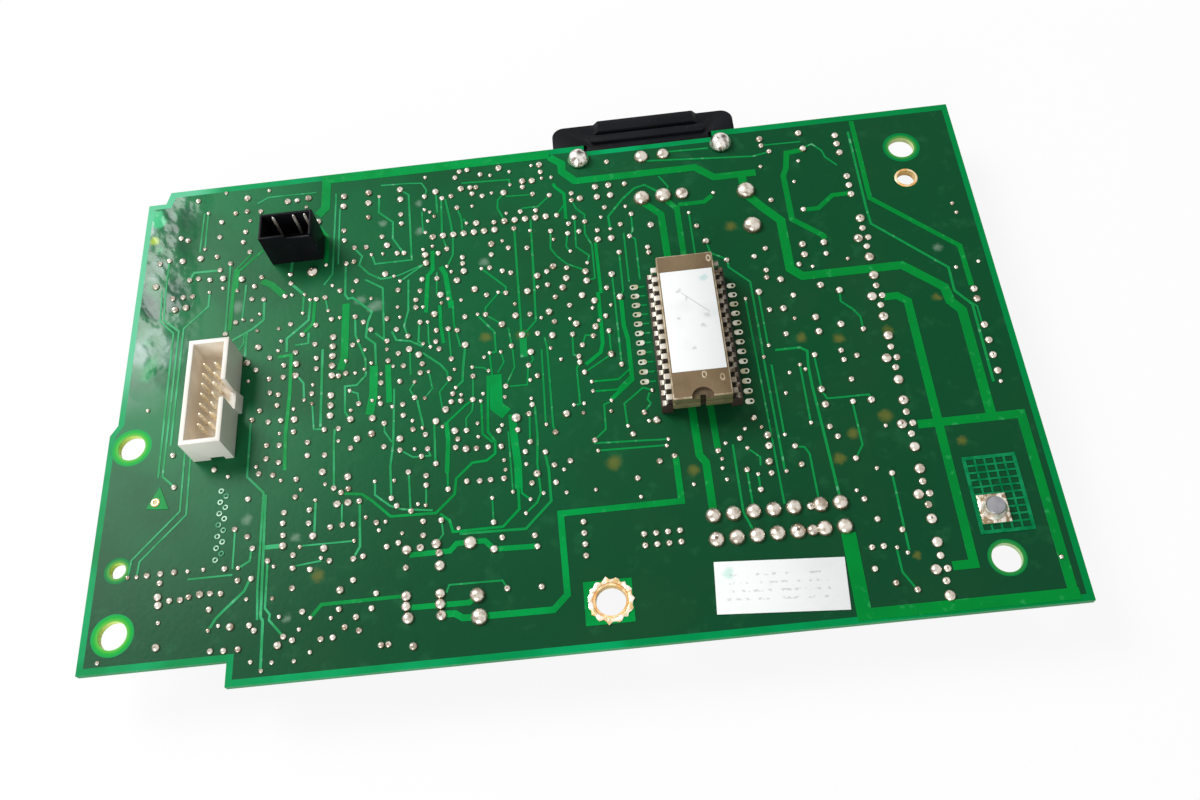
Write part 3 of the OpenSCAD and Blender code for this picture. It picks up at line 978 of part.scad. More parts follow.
// Six single-in-line output drivers, on their leads' line, with chamfered corners
module drivers() {
    w = driver_body[1];
    c = driver_chamfer;
    color("#26262a") placed() for (d = driver_at)
        translate([d[0] - driver_body[0] / 2, d[1] - w / 2, under - stand_h]) rotate([90, 0, 90])
            linear_extrude(driver_body[0])
                polygon([[c, 0], [w - c, 0], [w, c], [w, stand_h - c], [w - c, stand_h], [c, stand_h],
                    [0, stand_h - c], [0, c]]);
}

// Metal tabs on the drivers' outer faces
module driver_tabs() {
    color("silver") placed() for (d = driver_at)
        translate([d[0] + driver_body[0] / 2, d[1] - driver_tab[1] / 2, under - stand_h + 0.5]) difference() {
            cube([driver_tab[0], driver_tab[1], stand_h - 2]);
            translate([-1, driver_tab[1] / 2, driver_tab_hole_d])
                rotate([0, 90, 0]) cylinder(d = driver_tab_hole_d, h = 4);
        }
}

// Insulating strips of the two pin headers
module pin_strips() {
    color("#222224") placed() for (s = [[strip_a[0], 4, 2], [strip_b[0], 1, 4]])
        translate([s[0][0] - strip_pitch / 2, s[0][1] - strip_pitch / 2, under - strip_t])
            cube([s[1] * strip_pitch, s[2] * strip_pitch, strip_t]);
}

module strip_pins() {
    color("#d9b35c") placed() for (p = concat(strip_a, strip_b))
        translate([p[0] - pin_w / 2, p[1] - pin_w / 2, under - strip_t - strip_pin_l])
            cube([pin_w, pin_w, strip_pin_l]);
}

// Three-lead moulded filter
module filter_block() {
    color("#2b3a52") placed() translate(concat(filter_at, under - filter_size[2]))
        linear_extrude(filter_size[2]) rounded(filter_size[0], filter_size[1], 1);
}

// Box film capacitor between the two heavy joints
module film_capacitor() {
    color("#b3412c") placed() translate(concat(film_at, under - film_size[2]))
        linear_extrude(film_size[2]) rounded(film_size[0], film_size[1], 0.8);
}

// Two transistors with a flat face
module transistors() {
    color("#26262a") placed() for (p = transistor_at)
        translate(concat(p, under - transistor_d)) linear_extrude(transistor_d) difference() {
            circle(d = transistor_d);
            translate([0.31 * transistor_d, -transistor_d]) square(2 * transistor_d);
        }
}

// Two-row socket strip under the long joint rows
module row_socket() {
    color("#e6e2d6") placed() translate(concat(row_at - row_edge, under - row_size[2])) difference() {
        cube(row_size);
        translate([row_wall, row_wall, -1])
            cube([row_size[0] - 2 * row_wall, row_size[1] - 2 * row_wall, row_size[2] - 1.5]);
    }
}

// Electrolytic capacitor: rolled can with its crimp groove, on a bung
module can(d, h) {
    r = d / 2;
    rotate_extrude()
        polygon([[0, 0], [r - 0.4, 0], [r, 0.4], [r, h - bung_t - 2], [r - 0.5, h - bung_t - 1.6],
            [r, h - bung_t - 1.2], [r, h - bung_t], [0, h - bung_t]]);
}

module capacitor_cans() {
    color("#24407a") placed() for (c = cans) translate([c[0], c[1], under - stand_h]) can(c[2], stand_h);
}

// Rubber bungs between the cans and the board
module capacitor_bungs() {
    color("#151515") placed() for (c = cans)
        translate([c[0], c[1], under - bung_t]) cylinder(d = c[2] - 2, h = bung_t);
}

// Single-in-line resistor network
module resistor_network() {
    color("#3b3b3f") placed() translate(concat(network_at - network_edge, under - network_size[2]))
        linear_extrude(network_size[2]) rounded(network_size[0], network_size[1], 0.8);
}

// Two small dual-in-line packages
module dip_packages() {
    color("#26262a") placed() for (d = dips)
        translate([d[0][0] - d[1][0] / 2, d[0][1] - d[1][1] / 2, under - dip_gap - dip_t])
            cube([d[1][0], d[1][1], dip_t]);
}

// Their legs, from the body's side up to the board
module dip_legs() {
    color("silver") placed() for (d = dips, i = [0:d[2] - 1], s = [-1, 1]) {
        row = (i - (d[2] - 1) / 2) * pitch;
        side = s * (d[1][d[3]] + dip_leg[1]) / 2;
        place = d[3] == 1 ? [row, side] : [side, row];
        size = d[3] == 1 ? dip_leg : [dip_leg[1], dip_leg[0]];
        translate(concat(d[0] + place - size / 2, under - dip_leg_l)) cube(concat(size, dip_leg_l));
    }
}

board();
plane_field();
copper();
joints_small();
joints_mid();
joints_large();
joints_power();
peg_joints();
hole_lands();
via_rings();
test_pad();
hatch_pad();
stud();
chip_pads();
socket();
socket_contacts();
chip();
chip_legs();
chip_label();
box_header();
box_pins();
shroud();
shroud_pins();
paper_label();
edge_housing();
edge_contacts();
power_housings();
drivers();
driver_tabs();
pin_strips();
strip_pins();
filter_block();
film_capacitor();
transistors();
row_socket();
capacitor_cans();
capacitor_bungs();
resistor_network();
dip_packages();
dip_legs();
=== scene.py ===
import math

import bpy
from mathutils import Matrix, Vector


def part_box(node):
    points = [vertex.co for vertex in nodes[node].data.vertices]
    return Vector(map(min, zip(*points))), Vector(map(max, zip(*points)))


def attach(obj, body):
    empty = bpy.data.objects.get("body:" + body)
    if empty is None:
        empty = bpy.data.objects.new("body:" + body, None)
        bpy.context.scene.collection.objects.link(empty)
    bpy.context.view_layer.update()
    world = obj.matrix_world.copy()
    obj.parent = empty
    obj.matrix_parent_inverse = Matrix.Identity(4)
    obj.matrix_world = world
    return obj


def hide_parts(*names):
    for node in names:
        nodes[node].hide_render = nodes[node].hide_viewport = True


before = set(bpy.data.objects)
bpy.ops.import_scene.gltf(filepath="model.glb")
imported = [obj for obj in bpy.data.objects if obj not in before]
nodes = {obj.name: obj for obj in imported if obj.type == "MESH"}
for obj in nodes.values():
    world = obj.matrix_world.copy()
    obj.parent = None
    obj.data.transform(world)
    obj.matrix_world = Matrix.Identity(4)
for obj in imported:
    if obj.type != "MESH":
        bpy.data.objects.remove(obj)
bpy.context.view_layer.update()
bpy.ops.object.select_all(action="DESELECT")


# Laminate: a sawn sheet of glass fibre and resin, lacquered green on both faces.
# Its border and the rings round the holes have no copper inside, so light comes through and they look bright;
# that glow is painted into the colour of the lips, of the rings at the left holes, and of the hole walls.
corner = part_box("board")[0]
solder_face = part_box("board")[1].z


def on_board(x, y, z=0.0):
    """Point in metres from millimetres along the board from its near left corner, and above the solder face."""
    return Vector((corner.x + x / 1000, corner.y + y / 1000, solder_face + z / 1000))


def screen(r, g, b):
    """Linear colour of a colour as a screen shows it, each part from 0 to 255."""
    return tuple(((c / 255 + 0.055) / 1.055) ** 2.4 if c > 10 else c / 3294.6 for c in (r, g, b)) + (1.0,)


def shader_of(finish):
    """The shader of a finish."""
    return finish.node_tree.nodes["Principled BSDF"]


def new_finish(name, rough, metal=0.0, specular=0.5):
    """Node material with its plain numbers set."""
    finish = bpy.data.materials.new(name)
    finish.use_nodes = True
    inputs = shader_of(finish).inputs
    inputs["Roughness"].default_value = rough
    inputs["Metallic"].default_value = metal
    inputs["Specular IOR Level"].default_value = specular
    return finish


def feed(finish, socket, value):
    """A value or another node's output goes into a socket."""
    if isinstance(value, bpy.types.NodeSocket):
        finish.node_tree.links.new(value, socket)
    else:
        socket.default_value = value


def paint(finish, colour):
    """Colour goes into the shader of a finish."""
    feed(finish, shader_of(finish).inputs["Base Color"], colour)


def place_of(finish):
    """Place on the object, in metres in the part's own frame."""
    tree = finish.node_tree.nodes
    found = tree.get("place") or tree.new("ShaderNodeTexCoord")
    found.name = "place"
    return found.outputs["Object"]


def turned(finish, shift=(0, 0, 0), stretch=(1, 1, 1), turn=0.0):
    """Place on the object, moved, turned about Z and then stretched."""
    mapping = finish.node_tree.nodes.new("ShaderNodeMapping")
    mapping.vector_type = "TEXTURE"
    feed(finish, mapping.inputs["Vector"], place_of(finish))
    mapping.inputs["Location"].default_value = shift
    mapping.inputs["Rotation"].default_value = (0, 0, turn)
    mapping.inputs["Scale"].default_value = stretch
    return mapping.outputs["Vector"]


def clouds(finish, scale, detail=2.0, place=None, colour=False):
    """Soft random pattern with scale cells to the metre."""
    noise = finish.node_tree.nodes.new("ShaderNodeTexNoise")
    feed(finish, noise.inputs["Vector"], place or place_of(finish))
    noise.inputs["Scale"].default_value = scale
    noise.inputs["Detail"].default_value = detail
    return noise.outputs["Color" if colour else "Fac"]


def stripes(finish, letter, scale, place=None):
    """Soft even stripes across one axis."""
    wave = finish.node_tree.nodes.new("ShaderNodeTexWave")
    wave.bands_direction = letter
    wave.inputs["Scale"].default_value = scale
    feed(finish, wave.inputs["Vector"], place or place_of(finish))
    return wave.outputs["Fac"]


def between(finish, value, low, high, start=0.0, end=1.0):
    """Value brought smoothly from low..high to start..end."""
    span = finish.node_tree.nodes.new("ShaderNodeMapRange")
    span.interpolation_type = "SMOOTHSTEP"
    sockets = ("Value", "From Min", "From Max", "To Min", "To Max")
    for socket, number in zip(sockets, (value, low, high, start, end)):
        feed(finish, span.inputs[socket], number)
    return span.outputs["Result"]


def reckon(finish, kind, a, b=0.0):
    """Result of one operation on one or two numbers."""
    calc = finish.node_tree.nodes.new("ShaderNodeMath")
    calc.operation = kind
    feed(finish, calc.inputs[0], a)
    feed(finish, calc.inputs[1], b)
    return calc.outputs["Value"]


def product(finish, a, b):
    """Two numbers multiplied."""
    return reckon(finish, "MULTIPLY", a, b)


def over(finish, share, under_colour, upper_colour):
    """Upper colour laid over the lower one by its share."""
    mix = finish.node_tree.nodes.new("ShaderNodeMix")
    mix.data_type = "RGBA"
    feed(finish, mix.inputs["Factor"], share)
    feed(finish, mix.inputs[6], under_colour)
    feed(finish, mix.inputs[7], upper_colour)
    return mix.outputs[2]


def patches(finish, under, upper, scale, detail=3, low=0.35, high=0.65, share=1.0):
    """Upper colour laid over the lower one in soft patches, where a cloud pattern rises from low to high."""
    return over(finish, between(finish, clouds(finish, scale, detail), low, high, 0, share), under, upper)


def relief(finish, height, depth):
    """Surface raised by a pattern, depth in metres."""
    bump = finish.node_tree.nodes.new("ShaderNodeBump")
    bump.inputs["Distance"].default_value = depth
    feed(finish, bump.inputs["Height"], height)
    feed(finish, shader_of(finish).inputs["Normal"], bump.outputs["Normal"])
    return bump.outputs["Normal"]


def axis_of(finish, letter, place=None):
    """One coordinate of the place."""
    split = finish.node_tree.nodes.new("ShaderNodeSeparateXYZ")
    feed(finish, split.inputs[0], place or place_of(finish))
    return split.outputs[letter]


def ramp(finish, letter, start, end, before=0.0, after=1.0):
    """Value that changes smoothly between two places along X or Y of the board, in millimetres."""
    axis = "XY".index(letter)
    low, high = on_board(start, start)[axis], on_board(end, end)[axis]
    return between(finish, axis_of(finish, letter), low, high, before, after)


def ragged_place(finish):
    """Place on the object, pushed about by under a millimetre, for spots with a ragged edge."""
    tree = finish.node_tree.nodes
    if "ragged" not in tree:
        reach = 0.0016
        push = tree.new("ShaderNodeVectorMath")
        push.name = "ragged"
        push.operation = "MULTIPLY_ADD"
        feed(finish, push.inputs[0], clouds(finish, 700, 2, colour=True))
        push.inputs[1].default_value = (reach, reach, 0)
        feed(finish, push.inputs[2], turned(finish, shift=(reach / 2, reach / 2, 0)))
    return tree["ragged"].outputs["Vector"]


def spot(finish, colour, x, y, inner, outer, spot_colour, strength=1.0, place=None, z=0.0):
    """Spot on a colour, full up to one radius and gone at the other, in millimetres; ragged without a place."""
    gap = finish.node_tree.nodes.new("ShaderNodeVectorMath")
    gap.operation = "DISTANCE"
    feed(finish, gap.inputs[0], place or ragged_place(finish))
    gap.inputs[1].default_value = on_board(x, y, z)
    share = between(finish, gap.outputs["Value"], inner / 1000, outer / 1000, strength, 0)
    return over(finish, share, colour, spot_colour)


def dress(name, finish):
    """CAD node takes a finish as it is."""
    nodes[name].data.materials.clear()
    nodes[name].data.materials.append(finish)


laminate = new_finish("laminate_green", 0.32, specular=0.05)
body_green = patches(laminate, screen(0, 138, 74), screen(4, 160, 94), 70)
body_green = over(laminate, ramp(laminate, "X", 120, 190, 0, 0.8), body_green, screen(0, 128, 60))
# Towards the far left corner the border is painted pale mint: a painted reflection of the lamp's glare.
far_left_glare = product(laminate, ramp(laminate, "X", 12, 22, 0.8, 0), ramp(laminate, "Y", 62, 80))
body_green = over(laminate, far_left_glare, body_green, screen(104, 202, 158))
below = between(laminate, axis_of(laminate, "Z"), solder_face - 0.0003, solder_face - 0.00005, 1, 0)
plies = between(laminate, stripes(laminate, "Z", 900), 0.3, 0.8, 0.2, 0.6)
body_green = over(laminate, product(laminate, below, plies), body_green, screen(10, 100, 56))
walls_glow_green = body_green
# Painted light: the pale lips, the brighter rings of the left holes and the yellow-green hole walls are a
# painted glow for light shining through the laminate.
bright_ring, dull_ring, lip_glow_green = screen(14, 172, 56), screen(0, 128, 62), screen(150, 215, 70)
lip_w, ring_w = 0.9, 1.7
wall_full, wall_gone = 0.6, 1.2
even = place_of(laminate)
for x, y, r, ring, lip, wall in (
        (5.5, 56.5, 3.1, bright_ring, 0.35, screen(226, 242, 128)),
        (6.7, 13.1, 3.1, bright_ring, 0.35, screen(226, 242, 136)),
        (6, 27.3, 1.8, dull_ring, 0.35, screen(216, 236, 110)),
        (191.3, 117, 3.1, dull_ring, 0.25, screen(214, 224, 160)),
        (190.4, 10.4, 3.1, dull_ring, 0.1, screen(190, 216, 160))):
    body_green = spot(laminate, body_green, x, y, r + lip_w, r + ring_w, ring, 0.9, even)
    body_green = spot(laminate, body_green, x, y, r, r + lip_w, lip_glow_green, lip, even)
    walls_glow_green = spot(laminate, walls_glow_green, x, y, r + wall_full, r + wall_gone, wall, 0.9, even)
lining = screen(232, 192, 128)
for x, y, r in ((190.5, 107.5, 2.1), (110.3, 9.8, 3.1)):
    walls_glow_green = spot(laminate, walls_glow_green, x, y, r + wall_full, r + wall_gone, lining, 0.95, even)
paint(laminate, over(laminate, below, body_green, walls_glow_green))
relief(laminate, clouds(laminate, 900, 2), 0.00002)
dress("board", laminate)


# Mask over the inner plane: the same lacquer, but dark, because the copper plane inside stops the light.
# It has flux stains and pale bloom where it was soldered and cleaned by hand, and lies thick and wavy at the
# far left, where the crests of the waves are painted pale as painted reflection and the dips dark as painted
# shade.
def stains(finish, colour, stain, strength, full, gone, places, z=0.0):
    """Ragged spots, each a point and a radius in millimetres; full and gone are shares of the radius."""
    for x, y, r in places:
        colour = spot(finish, colour, x, y, r * full, r * gone, stain, strength, z=z)
    return colour


mask_dark = new_finish("mask_dark", 0.28, specular=0.065)
# Painted light: the field is lighter towards the far left, where the lamp's glare falls on the lacquer, and
# darker towards the right and the near edge.
field_green = over(mask_dark, ramp(mask_dark, "X", 0, 80), screen(38, 120, 74), screen(18, 93, 53))
field_green = over(mask_dark, ramp(mask_dark, "X", 80, 165), field_green, screen(8, 75, 41))
field_green = over(mask_dark, ramp(mask_dark, "Y", 6, 70, 0.85, 0), field_green, screen(14, 70, 42))
field_green = patches(mask_dark, field_green, screen(26, 74, 42), 45, 4, 0.45, 0.7, 0.5)
field_green = patches(mask_dark, field_green, screen(40, 106, 66), 260, 3, 0.55, 0.75, 0.3)
flux, bloom, thin_lacquer = screen(126, 122, 50), screen(150, 178, 158), screen(40, 160, 96)
field_green = stains(mask_dark, field_green, flux, 0.5, 0.2, 1.5, (
    (172.8, 44.6, 1.4), (165.2, 41.2, 1.2), (161.4, 35.7, 1.2), (190.2, 72.9, 1), (172.8, 12.7, 0.8),
    (158.3, 66.3, 1.1), (166.5, 65, 1.2), (177.6, 65.7, 1.2), (113.5, 40.3, 1.6), (146.7, 99.1, 1.3),
    (187.5, 36.9, 1), (130.4, 36.5, 1.2), (86.7, 75.5, 1.2), (95.2, 75, 1.2), (49.5, 21.5, 1.4)))
field_green = stains(mask_dark, field_green, bloom, 0.4, 0.2, 1.5, (
    (62, 111.6, 0.9), (71, 116.6, 0.9), (71.3, 108, 1.1), (86.9, 96.6, 1.2), (61.1, 87.8, 1.5),
    (59.6, 86.9, 1), (57, 89.6, 1.2), (27, 91.5, 1.6), (43.5, 13, 0.9), (44.3, 30.7, 1), (33.4, 36, 1.1),
    (193.5, 86.4, 1)))
field_green = stains(mask_dark, field_green, thin_lacquer, 0.6, 0.3, 1.4, (
    (7, 78, 2.2), (7, 75, 1.8), (6, 111.1, 1), (5.5, 84, 1.3)))
ragged_x = reckon(mask_dark, "ADD", axis_of(mask_dark, "X"),
                  product(mask_dark, clouds(mask_dark, 90, 3), 0.012))
thick = product(mask_dark, between(mask_dark, ragged_x, on_board(14, 0).x, on_board(24, 0).x, 1, 0),
                ramp(mask_dark, "Y", 62, 84))
waves = clouds(mask_dark, 120, 2.5, turned(mask_dark, stretch=(1, 1.6, 1), turn=0.6))
# The crests are painted pale, a painted reflection of the lamp, and the dips dark, painted shade.
crest_glare = product(mask_dark, thick, between(mask_dark, waves, 0.5, 0.66, 0, 0.75))
dip_shade = product(mask_dark, thick, between(mask_dark, waves, 0.34, 0.48, 0.8, 0))
field_green = over(mask_dark, crest_glare, field_green, screen(150, 176, 168))
field_green = over(mask_dark, dip_shade, field_green, screen(26, 70, 52))
field_green = stains(mask_dark, field_green, screen(70, 196, 134), 0.9, 0.6, 1, (
    (3.7, 121.8, 2.4), (4.8, 119.8, 2)))
field_green = spot(mask_dark, field_green, 4.2, 114.2, 0.3, 1.7, screen(176, 204, 60), 0.9)
field_green = stains(mask_dark, field_green, screen(16, 60, 42), 0.8, 0.3, 1.3, (
    (3.1, 111, 0.9), (3, 100.8, 0.8), (5.5, 95.4, 0.8), (5.2, 92.3, 0.7), (9.3, 117.4, 1)))
ripple = reckon(mask_dark, "ADD", product(mask_dark, thick, waves),
                product(mask_dark, clouds(mask_dark, 900, 2), 0.02))
lacquer = shader_of(mask_dark).inputs
feed(mask_dark, lacquer["Coat Normal"], relief(mask_dark, ripple, 0.0012))
feed(mask_dark, lacquer["Coat Weight"], product(mask_dark, thick, 0.35))
lacquer["Coat Roughness"].default_value = 0.15
paint(mask_dark, field_green)
dress("plane_field", mask_dark)


# Tracks: etched copper foil under the same lacquer, so they stand a little proud and look bright green.
# The three-cornered test pad and the hatched earth pad are part of the same foil. The narrow tracks and the
# eased edges take a paler finish, a painted highlight where light catches them; the wide tracks are painted
# paler towards the left and in small pale patches, painted highlights too.
def two_tone(name, rough, specular, under, upper, scale, grain, depth):
    """Finish in soft patches of two tones, with a fine grain raised by a depth in metres."""
    finish = new_finish(name, rough, specular=specular)
    paint(finish, patches(finish, under, upper, scale))
    relief(finish, clouds(finish, grain, 2), depth)
    return finish


track_green = new_finish("track_green", 0.28, specular=0.06)
# Painted highlights: paler towards the left and in small pale patches, for the lamp's glare.
foil = over(track_green, ramp(track_green, "X", 90, 150), screen(0, 152, 70), screen(0, 136, 52))
foil = patches(track_green, foil, screen(0, 122, 50), 110, 3, 0.35, 0.7, 0.6)
foil = patches(track_green, foil, screen(60, 176, 104), 500, 2, 0.6, 0.75, 0.4)
paint(track_green, foil)
relief(track_green, clouds(track_green, 1500, 2), 0.00003)
hatch_green = two_tone("hatch_green", 0.35, 0.06, screen(0, 112, 62), screen(20, 136, 82),
                       400, 1500, 0.00003)
dress("test_pad", track_green)
dress("hatch_pad", hatch_green)


def only(piece):
    """Just this piece is selected and active."""
    bpy.ops.object.select_all(action="DESELECT")
    piece.select_set(True)
    bpy.context.view_layer.objects.active = piece


def smooth(degrees):
    """Active piece shaded smooth over edges flatter than an angle."""
    bpy.ops.object.shade_smooth_by_angle(angle=math.radians(degrees))


def ease(piece, width, sharp=40):
    """Edges sharper than an angle are rounded by a width in millimetres, and the faces smoothed."""
    only(piece)
    bevel = piece.modifiers.new("ease", "BEVEL")
    bevel.width = width / 1000
    bevel.segments = 2
    bevel.limit_method = "ANGLE"
    bevel.angle_limit = math.radians(sharp)
    bpy.ops.object.modifier_apply(modifier=bevel.name)
    smooth(35)


def settle(piece, slot, *replaced):
    """Piece rides on the board and stands for the nodes it replaces, which are hidden; the slot is not used."""
    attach(piece, "root")
    if replaced:
        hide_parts(*replaced)


def merged_copy(name, piece_name):
    """Copy of a CAD node's mesh in edit mode, with its points merged and all selected."""
    piece = bpy.data.objects.new(piece_name, nodes[name].data.copy())
    bpy.context.collection.objects.link(piece)
    only(piece)
    bpy.ops.mesh.customdata_custom_splitnormals_clear()
    bpy.ops.object.mode_set(mode="EDIT")
    bpy.ops.mesh.select_all(action="SELECT")
    bpy.ops.mesh.remove_doubles(threshold=1e-6)
    return piece


def moulding(name, finish, width, slot):
    """Copy of a CAD node with whole faces and eased edges, which stands for the node."""
    piece = merged_copy(name, name + "_moulding")
    bpy.ops.mesh.dissolve_limited(angle_limit=math.radians(2))
    bpy.ops.object.mode_set(mode="OBJECT")
    piece.data.materials.clear()
    piece.data.materials.append(finish)
    ease(piece, width)
    settle(piece, slot, name)
    return piece


thin_track_glare_green = new_finish("thin_track_glare", 0.28, specular=0.06)
# Painted highlights: the narrow tracks and eased edges are pale, most towards the left.
foil = over(thin_track_glare_green, ramp(thin_track_glare_green, "X", 45, 95), screen(58, 172, 112), screen(16, 142, 70))
foil = patches(thin_track_glare_green, foil, screen(8, 136, 66), 160, 3, 0.35, 0.65, 0.7)
foil = patches(thin_track_glare_green, foil, screen(128, 200, 160), 500, 2, 0.6, 0.75, 0.5)
paint(thin_track_glare_green, foil)
relief(thin_track_glare_green, clouds(thin_track_glare_green, 1500, 2), 0.00003)
tracks = moulding("copper", track_green, 0.03, "mask_track")
tracks.data.materials.append(thin_track_glare_green)
bpy.ops.object.shade_flat()
narrow = 0.0006
for face in tracks.data.polygons:
    ring = [tracks.data.vertices[point].co for point in face.vertices]
    around = sum((a - b).length for a, b in zip(ring, ring[1:] + ring[:1]))
    face.material_index = 1 if 2 * face.area / around < narrow else 0


# Edge connector: one black moulding that is pegged through the board and stands out beyond the far edge.
# The mould leaves eased edges and a fine satin grain; its contacts are gold on spring bronze.
def uneven(finish, scale, smoothest, dullest):
    """Roughness of a finish that varies in soft patches."""
    rough = between(finish, clouds(finish, scale, 2), 0.3, 0.7, smoothest, dullest)
    feed(finish, shader_of(finish).inputs["Roughness"], rough)


def worn_metal(name, rough, metal, tones, pattern, grain, smoothest, dullest):
    """Metal in patches of two tones, by a pattern for patches(), and bright and dull by turns."""
    finish = new_finish(name, rough, metal)
    paint(finish, patches(finish, *tones, *pattern))
    uneven(finish, grain, smoothest, dullest)
    return finish


black_plastic = new_finish("moulded_black", 0.38, specular=0.06)
soot = patches(black_plastic, screen(17, 18, 21), screen(24, 25, 29), 60)
soot = patches(black_plastic, soot, screen(50, 52, 56), 900, 2, 0.62, 0.75, 0.3)
paint(black_plastic, soot)
relief(black_plastic, clouds(black_plastic, 5000, 2), 0.00002)
golds = screen(240, 212, 156), screen(214, 178, 112)
gilt = worn_metal("gilt", 0.25, 0.75, golds, (600, 2), 1500, 0.18, 0.36)
moulding("edge_housing", black_plastic, 0.25, "black_plastic")
contact_rows = new_finish("contact_rows", 0.3, metal=0.5)
contact_pitch = 0.00127
strips = stripes(contact_rows, "X", 2 * math.pi / (20 * contact_pitch))
gaps = between(contact_rows, strips, 0.25, 0.4, 1, 0)
paint(contact_rows, over(contact_rows, gaps, patches(contact_rows, *golds, 600, 2), screen(24, 22, 22)))
dress("edge_contacts", contact_rows)


# Parts of the component side: moulded housings, cases and sleeved cans that stand on the hidden face.
# Each is a moulding with eased edges; metal tabs and pins are tinned or gilt sheet.
white_plastic = two_tone("moulded_white", 0.45, 0.3, screen(226, 222, 212), screen(238, 235, 227),
                         90, 3000, 0.00002)
tinned = worn_metal("tinned_metal", 0.3, 0.9, (screen(226, 224, 216), screen(176, 172, 160)),
                    (500, 3, 0.35, 0.7), 1300, 0.2, 0.42)
blue_sleeve = two_tone("blue_sleeve", 0.3, 0.4, screen(34, 54, 104), screen(44, 66, 120), 120, 900, 0.00004)
red_case = two_tone("red_case", 0.35, 0.4, screen(160, 52, 36), screen(178, 66, 48), 120, 900, 0.00004)
rubber = two_tone("bung_rubber", 0.8, 0.2, screen(30, 30, 30), screen(44, 43, 42), 400, 2500, 0.00003)
for name, finish, width, slot in (
        ("power_housings", white_plastic, 0.25, "white_plastic"),
        ("row_socket", white_plastic, 0.25, "white_plastic"),
        ("drivers", black_plastic, 0.2, "black_plastic"),
        ("driver_tabs", tinned, 0.1, "tinned"),
        ("pin_strips", black_plastic, 0.2, "black_plastic"),
        ("filter_block", blue_sleeve, 0.5, "blue_plastic"),
        ("film_capacitor", red_case, 0.5, "red_plastic"),
        ("transistors", black_plastic, 0.2, "black_plastic"),
        ("capacitor_cans", blue_sleeve, 0.3, "blue_plastic"),
        ("resistor_network", black_plastic, 0.4, "black_plastic"),
        ("dip_packages", black_plastic, 0.3, "black_plastic")):
    moulding(name, finish, width, slot)
for name, finish in (("strip_pins", gilt), ("capacitor_bungs", rubber), ("dip_legs", tinned)):
    dress(name, finish)


# Solder joints: a fillet of tin-lead solder that climbs the cut lead, brown with flux at its foot.
# Two joints are drawn out of a disc ring by ring, one with the cut lead end bare and one with it covered, and
# are copied to each joint of the board with a little change. At the right the solder has spread wider.
solder = new_finish("solder_bright", 0.24, metal=0.92)
# The darker and brown patches of the solder are partly flux and partly painted shade for the shaded side of the
# joints.
tin = patches(solder, screen(220, 212, 200), screen(164, 150, 132), 800, 2, 0.4, 0.75)
paint(solder, patches(solder, tin, screen(132, 112, 90), 420, 2, 0.56, 0.68, 0.7))
uneven(solder, 1200, 0.16, 0.4)
lead_end = new_finish("lead_end_dark", 0.5, metal=0.6)
paint(lead_end, over(lead_end, clouds(lead_end, 2000, 2), screen(72, 58, 48), screen(140, 122, 104)))
flux_foot = new_finish("flux_foot", 0.3, metal=0.4)
paint(flux_foot, patches(flux_foot, screen(126, 110, 80), screen(98, 88, 52), 130, 2, 0.4, 0.65))


def pick(piece, wanted):
    """Edit mode with just the faces selected whose centre and normal pass the test."""
    only(piece)
    bpy.ops.object.mode_set(mode="EDIT")
    bpy.ops.mesh.select_mode(type="FACE")
    bpy.ops.mesh.select_all(action="DESELECT")
    bpy.ops.object.mode_set(mode="OBJECT")
    for face in piece.data.polygons:
        face.select = wanted(face.center, face.normal)
    bpy.ops.object.mode_set(mode="EDIT")


def faces_up(centre, normal):
    """Test for pick(): the face looks up."""
    return normal.z > 0.9


def draw_out(dx=0.0, dz=0.0):
    """Selected faces are extruded by millimetres."""
    bpy.ops.mesh.extrude_region_move(TRANSFORM_OT_translate={"value": (dx / 1000, 0, dz / 1000)})


def widen(x, y):
    """Selected faces are resized about the origin, across X and Y."""
    bpy.ops.transform.resize(value=(x, y, 1), center_override=(0, 0, 0))


def finish_picked(piece, index):
    """Selected faces take one of the piece's finishes, and edit mode ends."""
    piece.active_material_index = index
    bpy.ops.object.material_slot_assign()
    bpy.ops.object.mode_set(mode="OBJECT")


def join(piece, *others):
    """Other pieces become part of a piece."""
    only(piece)
    for other in others:
        other.select_set(True)
    bpy.ops.object.join()


def copies(piece, places, name, keep=False):
    """Piece copied to each place, a matrix, and joined under one name; the piece itself goes, unless kept."""
    made = []
    for place in places:
        twin = piece.copy()
        twin.data = piece.data.copy()
        twin.data.transform(place)
        bpy.context.collection.objects.link(twin)
        made.append(twin)
    if not keep:
        bpy.data.objects.remove(piece)
    join(*made)
    made[0].name = name
    return made[0]


def lathed(name, sides, rings, *finishes):
    """Disc at the origin drawn up ring by ring, each ring a height and a radius in millimetres."""
    bpy.ops.object.select_all(action="DESELECT")
    bpy.ops.mesh.primitive_circle_add(vertices=sides, radius=rings[0][1] / 1000, fill_type="NGON",
                                      location=(0, 0, rings[0][0] / 1000))
    bpy.ops.object.transform_apply(location=True)
    piece = bpy.context.object
    piece.name = name
    for finish in finishes:
        piece.data.materials.append(finish)
    bpy.ops.object.mode_set(mode="EDIT")
    bpy.ops.mesh.select_all(action="SELECT")
    for before, after in zip(rings, rings[1:]):
        draw_out(dz=after[0] - before[0])
        share = after[1] / before[1]
        widen(share, share)
    bpy.ops.object.mode_set(mode="OBJECT")
    return piece


